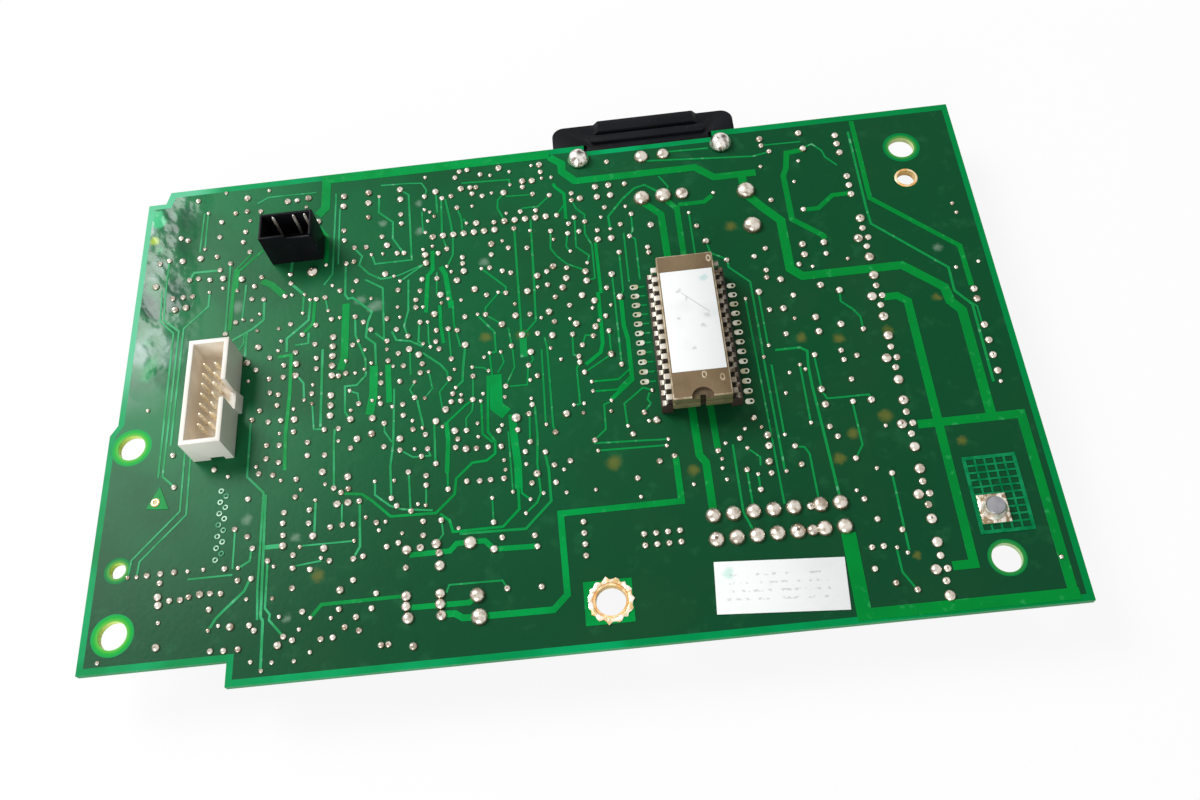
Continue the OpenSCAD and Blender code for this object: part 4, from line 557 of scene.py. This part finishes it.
def rim_places(name):
    """Centre on the board and radius of each round solid of a node."""
    merged_copy(name, "rims")
    bpy.ops.mesh.separate(type="LOOSE")
    bpy.ops.object.mode_set(mode="OBJECT")
    found = []
    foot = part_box(name)[0].z
    for loose in list(bpy.context.selected_objects):
        xs = [vertex.co.x for vertex in loose.data.vertices]
        ys = [vertex.co.y for vertex in loose.data.vertices]
        middle = Vector(((min(xs) + max(xs)) / 2, (min(ys) + max(ys)) / 2, foot))
        found.append((middle, (max(xs) - min(xs)) / 2))
        bpy.data.objects.remove(loose)
    return sorted(found, key=lambda rim: (round(rim[0].x, 5), round(rim[0].y, 5)))


joint = lathed("joint", 10, ((0, 1), (0.28, 0.95), (0.56, 0.78), (0.8, 0.5), (0.92, 0.28)),
               solder, lead_end, flux_foot)
bead = lathed("bead", 10, ((0, 1), (0.28, 0.96), (0.56, 0.83), (0.78, 0.6), (0.9, 0.36), (0.95, 0.13)),
              solder, lead_end, flux_foot)
foot_z, tip_z = 0.00015, 0.00085
for pattern in (joint, bead):
    pick(pattern, lambda centre, normal: centre.z < foot_z and abs(normal.z) < 0.9)
    finish_picked(pattern, 2)
    smooth(50)
pick(joint, lambda centre, normal: centre.z > tip_z and normal.z > 0.9)
bpy.ops.mesh.inset(thickness=0.00006, depth=-0.00008)
finish_picked(joint, 1)
smooth(50)
right_start = on_board(175, 0).x
extra_beads = [(on_board(153, 20.3, 0.1), 0.0011), (on_board(153.5, 25.6, 0.1), 0.0008)]
for name, spread, right_spread, right_end, cut_every in (
        ("joints_small", 1, 1.6, 180, 3), ("joints_mid", 1.04, 1.25, 205, 2),
        ("joints_large", 1.06, 1.3, 205, 3), ("joints_power", 1.15, 1, 205, 9)):
    rims = rim_places(name)
    if name == "joints_power":
        rims += extra_beads
    cut_places, full_places = [], []
    for count, (middle, radius) in enumerate(rims):
        at_right = right_start < middle.x < on_board(right_end, 0).x
        wide = 1000 * radius * spread * (right_spread if at_right else 1)
        high = 1000 * radius * (0.94 + 0.06 * math.sin(count * 2.4))
        turn = Matrix.Rotation(count * 1.7, 4, "Z")
        place = Matrix.Translation(middle) @ turn @ Matrix.Diagonal((wide, wide, high, 1))
        (full_places if count % cut_every else cut_places).append(place)
    cut_joints = copies(joint, cut_places, name + "_solder", keep=True)
    join(cut_joints, copies(bead, full_places, name + "_beads", keep=True))
    settle(cut_joints, "solder", name)
for pattern in (joint, bead):
    bpy.data.objects.remove(pattern)


# Peg joints: the two metal pegs of the edge connector, each under a tall dome of solder with a flat tip.
# A dome is drawn up in rings and smoothed by subdivision.
dome_tin = new_finish("dome_tin", 0.2, metal=0.95)
streaks = between(dome_tin, clouds(dome_tin, 900, 2, turned(dome_tin, stretch=(1, 1, 7))), 0.48, 0.64, 0, 0.8)
bright_tin = over(dome_tin, streaks, screen(232, 228, 222), screen(120, 104, 88))
pegs = [middle for middle, radius in rim_places("peg_joints")]
for peg in pegs:
    peg_x, peg_y = 1000 * (peg.x - corner.x), 1000 * (peg.y - corner.y)
    bright_tin = spot(dome_tin, bright_tin, peg_x + 0.8, peg_y, 0.2, 1.1, screen(60, 48, 40), 0.9, z=2.6)
paint(dome_tin, bright_tin)
uneven(dome_tin, 400, 0.12, 0.3)
dome = lathed("dome", 16, ((0, 2.95), (0.5, 2.85), (1.1, 2.6), (1.8, 2.25), (2.4, 1.8), (2.75, 1.2),
                           (2.85, 0.6)), dome_tin)
only(dome)
rounder = dome.modifiers.new("rounder", "SUBSURF")
rounder.levels = rounder.render_levels = 1
bpy.ops.object.modifier_apply(modifier=rounder.name)
bpy.ops.object.shade_smooth()
settle(copies(dome, [Matrix.Translation(peg) for peg in pegs], "peg_domes"), "solder", "peg_joints")


# Lands and open pads: bare copper that was dipped in solder, so tin and copper show in patches.
# The row of small rings is half covered by lacquer, the test pad has a gilt eyelet, and at the near hole the
# solder has run out in a ragged crown round the land.
land_metal = worn_metal("land_metal", 0.35, 0.6, (screen(226, 172, 102), screen(242, 216, 170)),
                        (400, 3, 0.4, 0.6), 900, 0.2, 0.5)
pad_tin = worn_metal("pad_tin", 0.32, 0.6, (screen(212, 212, 196), screen(170, 164, 134)),
                     (500, 3, 0.4, 0.65), 900, 0.2, 0.45)
ring_tin = new_finish("ring_tin", 0.4, metal=0.2, specular=0.2)
paint(ring_tin, patches(ring_tin, screen(150, 184, 160), screen(40, 116, 76), 600, 2, 0.4, 0.62))
for name, finish in (("hole_lands", land_metal), ("via_rings", ring_tin), ("chip_pads", pad_tin)):
    dress(name, finish)
eyelet = lathed("test_eyelet", 16, ((0, 1.0), (0.16, 1.0), (0.24, 0.85), (0.22, 0.6), (0.05, 0.55)),
                gilt, flux_foot)
# The closed floor of the eyelet's well takes the brown flux finish: painted shade in the hollow.
well_z = 0.0001
pick(eyelet, lambda centre, normal: centre.z < well_z and normal.z > 0.9)
finish_picked(eyelet, 1)
eyelet.data.transform(Matrix.Translation(on_board(12.6, 42.2, 0.1)))
only(eyelet)
smooth(50)
settle(eyelet, "gilt")
crown_tin = new_finish("crown_tin", 0.3, metal=0.5)
paint(crown_tin, patches(crown_tin, screen(250, 242, 226), screen(226, 190, 132), 700, 3, 0.42, 0.62))
relief(crown_tin, clouds(crown_tin, 900, 3), 0.0002)
crown_points, crown_r, crown_w = 44, 0.0045, 0.00078
outer_r = 0.0042
bpy.ops.object.select_all(action="DESELECT")
bpy.ops.mesh.primitive_circle_add(vertices=crown_points, radius=crown_r, fill_type="NGON", location=(0, 0, 0))
crown = bpy.context.object
crown.name = "solder_crown"
crown.data.materials.append(crown_tin)
bpy.ops.object.mode_set(mode="EDIT")
bpy.ops.mesh.inset(thickness=crown_w)
bpy.ops.mesh.delete(type="FACE")
bpy.ops.mesh.select_all(action="SELECT")
draw_out(dz=0.2)
bpy.ops.object.mode_set(mode="OBJECT")
for reach, step in ((1.09, 3), (1.06, 4), (0.95, 7)):
    bpy.ops.object.mode_set(mode="EDIT")
    bpy.ops.mesh.select_mode(type="VERT")
    bpy.ops.mesh.select_all(action="DESELECT")
    bpy.ops.object.mode_set(mode="OBJECT")
    for point in crown.data.vertices:
        count = round(math.degrees(math.atan2(point.co.y, point.co.x)) * crown_points / 360)
        point.select = point.co.xy.length > outer_r and count % step == 0
    bpy.ops.object.mode_set(mode="EDIT")
    widen(reach, reach)
    bpy.ops.object.mode_set(mode="OBJECT")
crown.data.transform(Matrix.Translation(on_board(110.3, 9.8, 0.07)))
ease(crown, 0.08, 30)
settle(crown, "solder")


# Earth stud: a tinned stud soldered into a square of the hatched pad.
# The solder has run out to a ragged square, brown with flux between bright beads.
burnt_solder = worn_metal("burnt_solder", 0.3, 0.7, (screen(236, 228, 214), screen(150, 128, 98)),
                          (900, 3, 0.44, 0.58), 1500, 0.15, 0.5)
relief(burnt_solder, clouds(burnt_solder, 1400, 3), 0.0003)


def block(name, low, high, *finishes):
    """Cube set to the box between two points, with its finishes."""
    bpy.ops.object.select_all(action="DESELECT")
    bpy.ops.mesh.primitive_cube_add(size=1, location=(low + high) / 2, scale=high - low)
    bpy.ops.object.transform_apply(location=True, rotation=True, scale=True)
    piece = bpy.context.object
    piece.name = name
    for finish in finishes:
        piece.data.materials.append(finish)
    return piece


stud_low, stud_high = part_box("stud")
stud_foot = Vector(((stud_low.x + stud_high.x) / 2, (stud_low.y + stud_high.y) / 2, stud_low.z))
puddle_half, puddle_high = Vector((0.003, 0.0032, 0)), Vector((0, 0, 0.0002))
puddle = block("stud_solder", stud_foot - puddle_half, stud_foot + puddle_half + puddle_high, burnt_solder)
pick(puddle, faces_up)
bpy.ops.mesh.inset(thickness=0.0007, depth=0.0002)
bpy.ops.object.mode_set(mode="OBJECT")
ease(puddle, 0.12)
settle(puddle, "solder")
collar_tin = new_finish("collar_tin", 0.3, metal=0.5)
paint(collar_tin, patches(collar_tin, screen(250, 243, 236), screen(206, 182, 164), 700, 3, 0.4, 0.65))
relief(collar_tin, clouds(collar_tin, 900, 2), 0.0001)
stud_tin = worn_metal("stud_tin", 0.28, 0.9, (screen(158, 158, 162), screen(132, 132, 136)),
                      (250, 2, 0.4, 0.65), 900, 0.2, 0.36)
stud = lathed("earth_stud", 24, ((0, 2.9), (0.4, 2.72), (0.9, 2.4), (1.5, 2.12), (1.85, 2.0), (2.05, 1.85),
                                 (2.1, 1.5)), collar_tin, stud_tin)
collar_z = 0.0019
pick(stud, lambda centre, normal: centre.z > collar_z)
finish_picked(stud, 1)
smooth(45)
stud.data.transform(Matrix.Translation(stud_foot))
settle(stud, "solder", "stud")


# Socket: a dark open frame with a rail under each row of legs, soldered to the board.
# Each place has a folded contact whose bright tip shows beside the leg.
socket_plastic = two_tone("socket_plastic", 0.5, 0.2, screen(46, 38, 32), screen(60, 52, 44),
                          120, 4000, 0.00002)
moulding("socket", socket_plastic, 0.15, "socket_plastic")
chip_low, chip_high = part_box("chip")
chip_mid = (chip_low + chip_high) / 2
leg_low, leg_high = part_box("chip_legs")
leg_count, leg_half = 14, 0.00065
leg_pitch = (leg_high.y - leg_low.y - 2 * leg_half) / (leg_count - 1)
leg_rows = [leg_low.y + leg_half + row * leg_pitch for row in range(leg_count)]
sides = [Matrix.Translation((chip_mid.x, y, 0)) @ Matrix.Rotation(turn, 4, "Z")
         for y in leg_rows for turn in (0, math.pi)]
leg_metal = new_finish("leg_metal", 0.4, metal=0.45)
legs_tin = patches(leg_metal, screen(238, 233, 222), screen(200, 190, 170), 500, 3, 0.35, 0.7)
# Painted shade: the right-hand row of legs and contact tips is painted dark brown in patches, as that side lies
# away from the light.
right_row = between(leg_metal, axis_of(leg_metal, "X"), chip_mid.x - 0.001, chip_mid.x + 0.001)
right_row_shade = product(leg_metal, right_row, between(leg_metal, clouds(leg_metal, 600, 2), 0.35, 0.6, 1, 0.6))
paint(leg_metal, over(leg_metal, right_row_shade, legs_tin, screen(98, 80, 58)))
uneven(leg_metal, 1300, 0.3, 0.5)
tip_low, tip_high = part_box("socket_contacts")
tip_in, tip_out, tip_half = 0.0078, 0.0086, 0.0006
contact = block("contact", Vector((tip_in, -tip_half, tip_low.z)), Vector((tip_out, tip_half, tip_high.z)),
                leg_metal)
pick(contact, faces_up)
bpy.ops.mesh.inset(thickness=0.0002, depth=-0.00012)
bpy.ops.object.mode_set(mode="OBJECT")
ease(contact, 0.07)
settle(copies(contact, sides, "contact_tips"), "tinned", "socket_contacts")


# Chip: two pressed halves of brown ceramic, fired together with a dark glass seam, with a notch at the near
# end. The upper half is brown; the lower half and the near end are painted olive, a painted reflection of the
# green board. The eased top edges are painted pale, a painted highlight, and the press marks take the same
# pale finish; the notch and the end slot are painted dark, painted shade.
ceramic = new_finish("ceramic_brown", 0.6, specular=0.2)
earth = patches(ceramic, screen(112, 93, 68), screen(126, 107, 80), 110, 4)
paint(ceramic, patches(ceramic, earth, screen(90, 74, 56), 1500, 2, 0.6, 0.75, 0.5))
relief(ceramic, clouds(ceramic, 3500, 2), 0.00004)
# The lower half and the near end take an olive finish: a painted reflection of the green board.
board_reflection_ceramic = two_tone("ceramic_board_reflection", 0.6, 0.2, screen(92, 92, 62), screen(112, 108, 76),
                        300, 3500, 0.00004)
seam_glass = new_finish("seam_glass", 0.35, specular=0.4)
paint(seam_glass, over(seam_glass, clouds(seam_glass, 900, 2), screen(34, 27, 21), screen(58, 47, 36)))
# Painted highlight: the eased top edges are pale; the press marks take the same pale finish.
highlight_and_marks = new_finish("ceramic_highlight_and_marks", 0.5, specular=0.3)
paint(highlight_and_marks, patches(highlight_and_marks, screen(150, 132, 104), screen(196, 182, 156), 500, 3, 0.4, 0.6))
# The notch is painted darker brown: painted shade in the hollow.
scoop_shade_brown = new_finish("ceramic_scoop_shade", 0.5, specular=0.25)
paint(scoop_shade_brown, patches(scoop_shade_brown, screen(78, 64, 47), screen(98, 82, 60), 400))


def carve(piece, cutter):
    """Cutter's shape is taken out of the piece, and the cut takes the cutter's finish."""
    only(piece)
    cut = piece.modifiers.new("carve", "BOOLEAN")
    cut.object = cutter
    cut.solver = "EXACT"
    cut.material_mode = "TRANSFER"
    bpy.ops.object.modifier_apply(modifier=cut.name)
    bpy.data.objects.remove(cutter)


seam_z = chip_mid.z
seam_half, seam_in, seam_lap = 0.00012, 0.0002, 0.0002
slot_half, slot_depth, past = 0.0006, 0.0008, 0.001
lower = block("chip_lower", chip_low, Vector((chip_high.x, chip_high.y, seam_z - seam_half)), board_reflection_ceramic)
upper = block("chip_upper", Vector((chip_low.x, chip_low.y, seam_z + seam_half)), chip_high,
              ceramic, board_reflection_ceramic, highlight_and_marks)
for half in (lower, upper):
    ease(half, 0.3)
pick(upper, lambda centre, normal: normal.y < -0.8)
finish_picked(upper, 1)
pick(upper, lambda centre, normal: centre.z > seam_z + 0.001 and 0.2 < normal.z < 0.97)
finish_picked(upper, 2)
# The end slot's cut faces take the dark seam finish: painted shade in the slot.
for half in (lower, upper):
    carve(half, block("end_slot", Vector((chip_mid.x - slot_half, chip_low.y - past, chip_low.z - past)),
                      Vector((chip_mid.x + slot_half, chip_low.y + slot_depth, chip_high.z + past)), seam_glass))
scoop = lathed("scoop", 24, ((0, 2.3), (3, 2.7)), scoop_shade_brown)
scoop_depth = 0.0007
scoop.data.transform(Matrix.Translation(Vector((chip_mid.x, chip_low.y, chip_high.z - scoop_depth))))
carve(upper, scoop)
seam = block("chip_seam", Vector((chip_low.x + seam_in, chip_low.y + slot_depth + 0.0001, seam_z - seam_lap)),
             Vector((chip_high.x - seam_in, chip_high.y - seam_in, seam_z + seam_lap)), seam_glass)
ease(seam, 0.05)
press_mark = lathed("press_mark", 16, ((-0.05, 0.66), (0.06, 0.62), (0.1, 0.5), (0.06, 0.36), (-0.04, 0.3)),
                    highlight_and_marks)
oval = Matrix.Diagonal((0.9, 1.5, 1, 1))
mark_places = [Matrix.Translation((chip_mid.x + x / 1000, chip_low.y + y / 1000, chip_high.z)) @ oval
               for x, y in ((0.9, 5.3), (4.7, 4.3), (5.5, 35.2))]
press_marks = copies(press_mark, mark_places, "press_marks")
smooth(50)
join(upper, lower, seam, press_marks)
upper.name = "chip_body"
settle(upper, "chip_ceramic", "chip")


# Legs: stamped tinned metal, set in the glass seam, wide at the shoulder and narrow where they enter the
# socket. One leg is drawn out of a strip and bent down, then copied to both rows.
leg_root, leg_bend, leg_t = 0.00625, 0.0074, 0.00014
shoulder, taper = 1.2, 0.3
leg = block("leg", Vector((leg_root, -leg_half, seam_z - leg_t)), Vector((leg_bend, leg_half, seam_z + leg_t)),
            leg_metal)
pick(leg, lambda centre, normal: normal.x > 0.9)
draw_out(dx=0.36)
bpy.ops.object.mode_set(mode="OBJECT")
pick(leg, lambda centre, normal: normal.z < -0.9 and centre.x > leg_bend)
draw_out(dz=-shoulder)
draw_out(dz=-taper)
widen(1, 0.5)
draw_out(dz=1000 * (leg_low.z - seam_z + leg_t) + shoulder + taper)
bpy.ops.object.mode_set(mode="OBJECT")
ease(leg, 0.09)
settle(copies(leg, sides, "chip_legs_bent"), "tinned", "chip_legs")


# Chip label: a bare white sticker of matt paper over the chip's middle, a little rubbed and smudged.
# It is a thin sheet with cut edges, pressed flat.
def bar(finish, place, reach_x, reach_y, strength=1.0):
    """Bar about the origin of a place, full up to the first reach and gone at the second, in metres."""
    off_x, off_y = (reckon(finish, "ABSOLUTE", axis_of(finish, letter, place)) for letter in "XY")
    share_x = between(finish, off_x, *reach_x, strength, 0)
    return product(finish, share_x, between(finish, off_y, *reach_y, 1, 0))


label_stock = new_finish("label_white", 0.7, specular=0.15)
paper = patches(label_stock, screen(242, 245, 244), screen(226, 230, 230), 130, 3, 0.5, 0.75, 0.5)
label_top = 1000 * (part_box("chip_label")[1].z - solder_face)
paper = spot(label_stock, paper, 137.8, 79.6, 0.3, 1.3, screen(196, 226, 222), 0.8, z=label_top)
paper = stains(label_stock, paper, screen(186, 190, 190), 0.6, 0.2, 1.3, (
    (131.8, 76.6, 0.6), (133.4, 74.4, 0.5), (137.3, 69.6, 0.9), (136.2, 67.2, 0.6), (131.2, 69.4, 0.5),
    (133.6, 61.6, 0.6)), label_top)
scratch_place = turned(label_stock, shift=on_board(135.2, 73.2, label_top), turn=math.radians(-45))
scratch = bar(label_stock, scratch_place, (0.0036, 0.0045), (0.00004, 0.00016), 0.5)
paint(label_stock, over(label_stock, scratch, paper, screen(150, 152, 152)))
relief(label_stock, clouds(label_stock, 2500, 3), 0.00002)
moulding("chip_label", label_stock, 0.03, "white_label")


# Paper label: a plain white sticker at the near edge, put on a little askew.
# Rows of faint grey dashes stand for worn print, and one corner is tinted.
sticker = new_finish("sticker_white", 0.7, specular=0.15)
askew = turned(sticker, shift=on_board(144.8, 9.3), turn=math.radians(-3.7))
dashes = product(sticker, between(sticker, stripes(sticker, "Y", 185, askew), 0.7, 0.9, 0, 0.5),
                 between(sticker, clouds(sticker, 900, 3, askew), 0.5, 0.6))
print_area = bar(sticker, askew, (0.0105, 0.0115), (0.0036, 0.0042))
stock = patches(sticker, screen(243, 246, 245), screen(232, 236, 236), 130, 3, 0.5, 0.75, 0.5)
stock = spot(sticker, stock, 134.6, 13, 0.6, 1.7, screen(186, 228, 214), 0.7)
paint(sticker, over(sticker, product(sticker, dashes, print_area), stock, screen(176, 178, 178)))
relief(sticker, clouds(sticker, 2500, 3), 0.00002)
moulding("paper_label", sticker, 0.03, "white_label")


# White box header: a moulded trough round two rows of gilt pins, open at the top, with a key slot in its right
# wall. The nylon is white; inside the trough it is painted beige, painted shade in the well.
# Painted shade: the faces inside the well take a beige finish.
well_shade_beige = two_tone("moulded_white_well_shade", 0.5, 0.2, screen(228, 216, 198), screen(240, 231, 217),
                         200, 3000, 0.00002)
trough = moulding("box_header", white_plastic, 0.12, "white_plastic")
trough.data.materials.append(well_shade_beige)
trough_low, trough_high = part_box("box_header")
well_x, well_y = trough_low.x + 0.0046, (trough_low.y + trough_high.y) / 2
well_half_x, well_half_y = 0.0037, 0.0123
well_floor, well_rim = trough_low.z + 0.002, trough_high.z - 0.0002
pick(trough, lambda centre, normal: abs(centre.x - well_x) < well_half_x
     and abs(centre.y - well_y) < well_half_y and well_floor < centre.z < well_rim)
finish_picked(trough, 1)
pin_gilt = worn_metal("pin_gilt", 0.3, 0.45, (screen(252, 244, 224), screen(240, 224, 190)),
                      (600, 2), 1500, 0.2, 0.4)


def pin(name, low, high, finish):
    """Pin at the origin, as large as the box between two points of its node, with a tapered tip."""
    half = (high - low) / 2
    tip = 1.4 * half.x
    piece = block(name, Vector((-half.x, -half.y, low.z)), Vector((half.x, half.y, high.z - tip)), finish)
    pick(piece, faces_up)
    draw_out(dz=1000 * tip)
    widen(0.45, 0.45)
    bpy.ops.object.mode_set(mode="OBJECT")
    ease(piece, 0.06)
    return piece


pin_w, pin_count = 0.00064, 7
pin_low, pin_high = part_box("box_pins")
gilt_pin = pin("gilt_pin", pin_low, Vector((pin_low.x + pin_w, pin_low.y + pin_w, pin_high.z)), pin_gilt)
pin_columns = (pin_low.x + pin_w / 2, pin_high.x - pin_w / 2)
pin_pitch = (pin_high.y - pin_low.y - pin_w) / (pin_count - 1)
pin_rows = [pin_low.y + pin_w / 2 + row * pin_pitch for row in range(pin_count)]
pin_places = [Matrix.Translation((x, y, 0)) for x in pin_columns for y in pin_rows]
settle(copies(gilt_pin, pin_places, "box_gilt_pins"), "gilt", "box_pins")


# Black shrouded header: a small black trough with three flat tinned pins in front of its far wall.
# The mould leaves thin walls whose rims catch the light; the near wall is cut lower on the right.
moulding("shroud", black_plastic, 0.15, "black_plastic")
pin_low, pin_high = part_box("shroud_pins")
tin_pin = pin("tin_pin", pin_low, Vector((pin_low.x + pin_w, pin_high.y, pin_high.z)), leg_metal)
pin_y = (pin_low.y + pin_high.y) / 2
pin_places = [Matrix.Translation((on_board(x, 0).x, pin_y, 0)) for x in (38.1, 43, 45.7)]
settle(copies(tin_pin, pin_places, "shroud_tin_pins"), "tinned", "shroud_pins")


# Studio: a white floor that keeps the board's soft shadow, white surroundings, a large soft lamp from the far
# left, a weaker low one from the near left, and a camera at the photo's place and angle.
def shown_rays(owner):
    """1 for what the camera, mirrors and glass show, and 0 for the light that falls on the object."""
    rays = owner.node_tree.nodes.new("ShaderNodeLightPath").outputs
    shown = reckon(owner, "MAXIMUM", rays["Is Camera Ray"], rays["Is Glossy Ray"])
    return reckon(owner, "MAXIMUM", shown, rays["Is Transmission Ray"])


floor_white = new_finish("floor_white", 0.9, specular=0.0)
paint(floor_white, (0.9, 0.9, 0.9, 1))
tree = floor_white.node_tree
glow = tree.nodes.new("ShaderNodeEmission")
glow.inputs["Color"].default_value = (1, 1, 1, 1)
glow.inputs["Strength"].default_value = 1.0
mix = tree.nodes.new("ShaderNodeMixShader")
feed(floor_white, mix.inputs[0], product(floor_white, shown_rays(floor_white), 0.9))
feed(floor_white, mix.inputs[1], shader_of(floor_white).outputs["BSDF"])
feed(floor_white, mix.inputs[2], glow.outputs["Emission"])
feed(floor_white, tree.nodes["Material Output"].inputs["Surface"], mix.outputs["Shader"])
bpy.ops.object.select_all(action="DESELECT")
bpy.ops.mesh.primitive_plane_add(size=6, location=(0, 0, 0))
floor = bpy.context.object
floor.name = "floor"
floor.data.materials.append(floor_white)

world = bpy.data.worlds.new("studio_white")
bpy.context.scene.world = world
world.use_nodes = True
back = world.node_tree.nodes["Background"]
back.inputs["Color"].default_value = (1, 1, 1, 1)
feed(world, back.inputs["Strength"], between(world, shown_rays(world), 0, 1, 0.28, 1))

for place, wide, watts in (((-0.75, 0.55, 0.9), 0.7, 16), ((-0.35, -0.95, 0.4), 0.7, 5.5)):
    bpy.ops.object.light_add(type="AREA", location=place)
    lamp = bpy.context.object
    lamp.data.shape = "DISK"
    lamp.data.size = wide
    lamp.data.energy = watts
    lamp.rotation_euler = (-lamp.location).to_track_quat("-Z", "Y").to_euler()

camera = bpy.data.objects.new("camera", bpy.data.cameras.new("camera"))
bpy.context.collection.objects.link(camera)
camera.data.sensor_width = 36
camera.data.lens = 32.892
camera.data.clip_start = 0.01
camera.location = (0.016878, -0.126587, 0.228733)
camera.rotation_euler = (math.radians(27.738), math.radians(4.452), math.radians(-4.592))
bpy.context.scene.camera = camera
bpy.context.scene.view_settings.view_transform = "Standard"
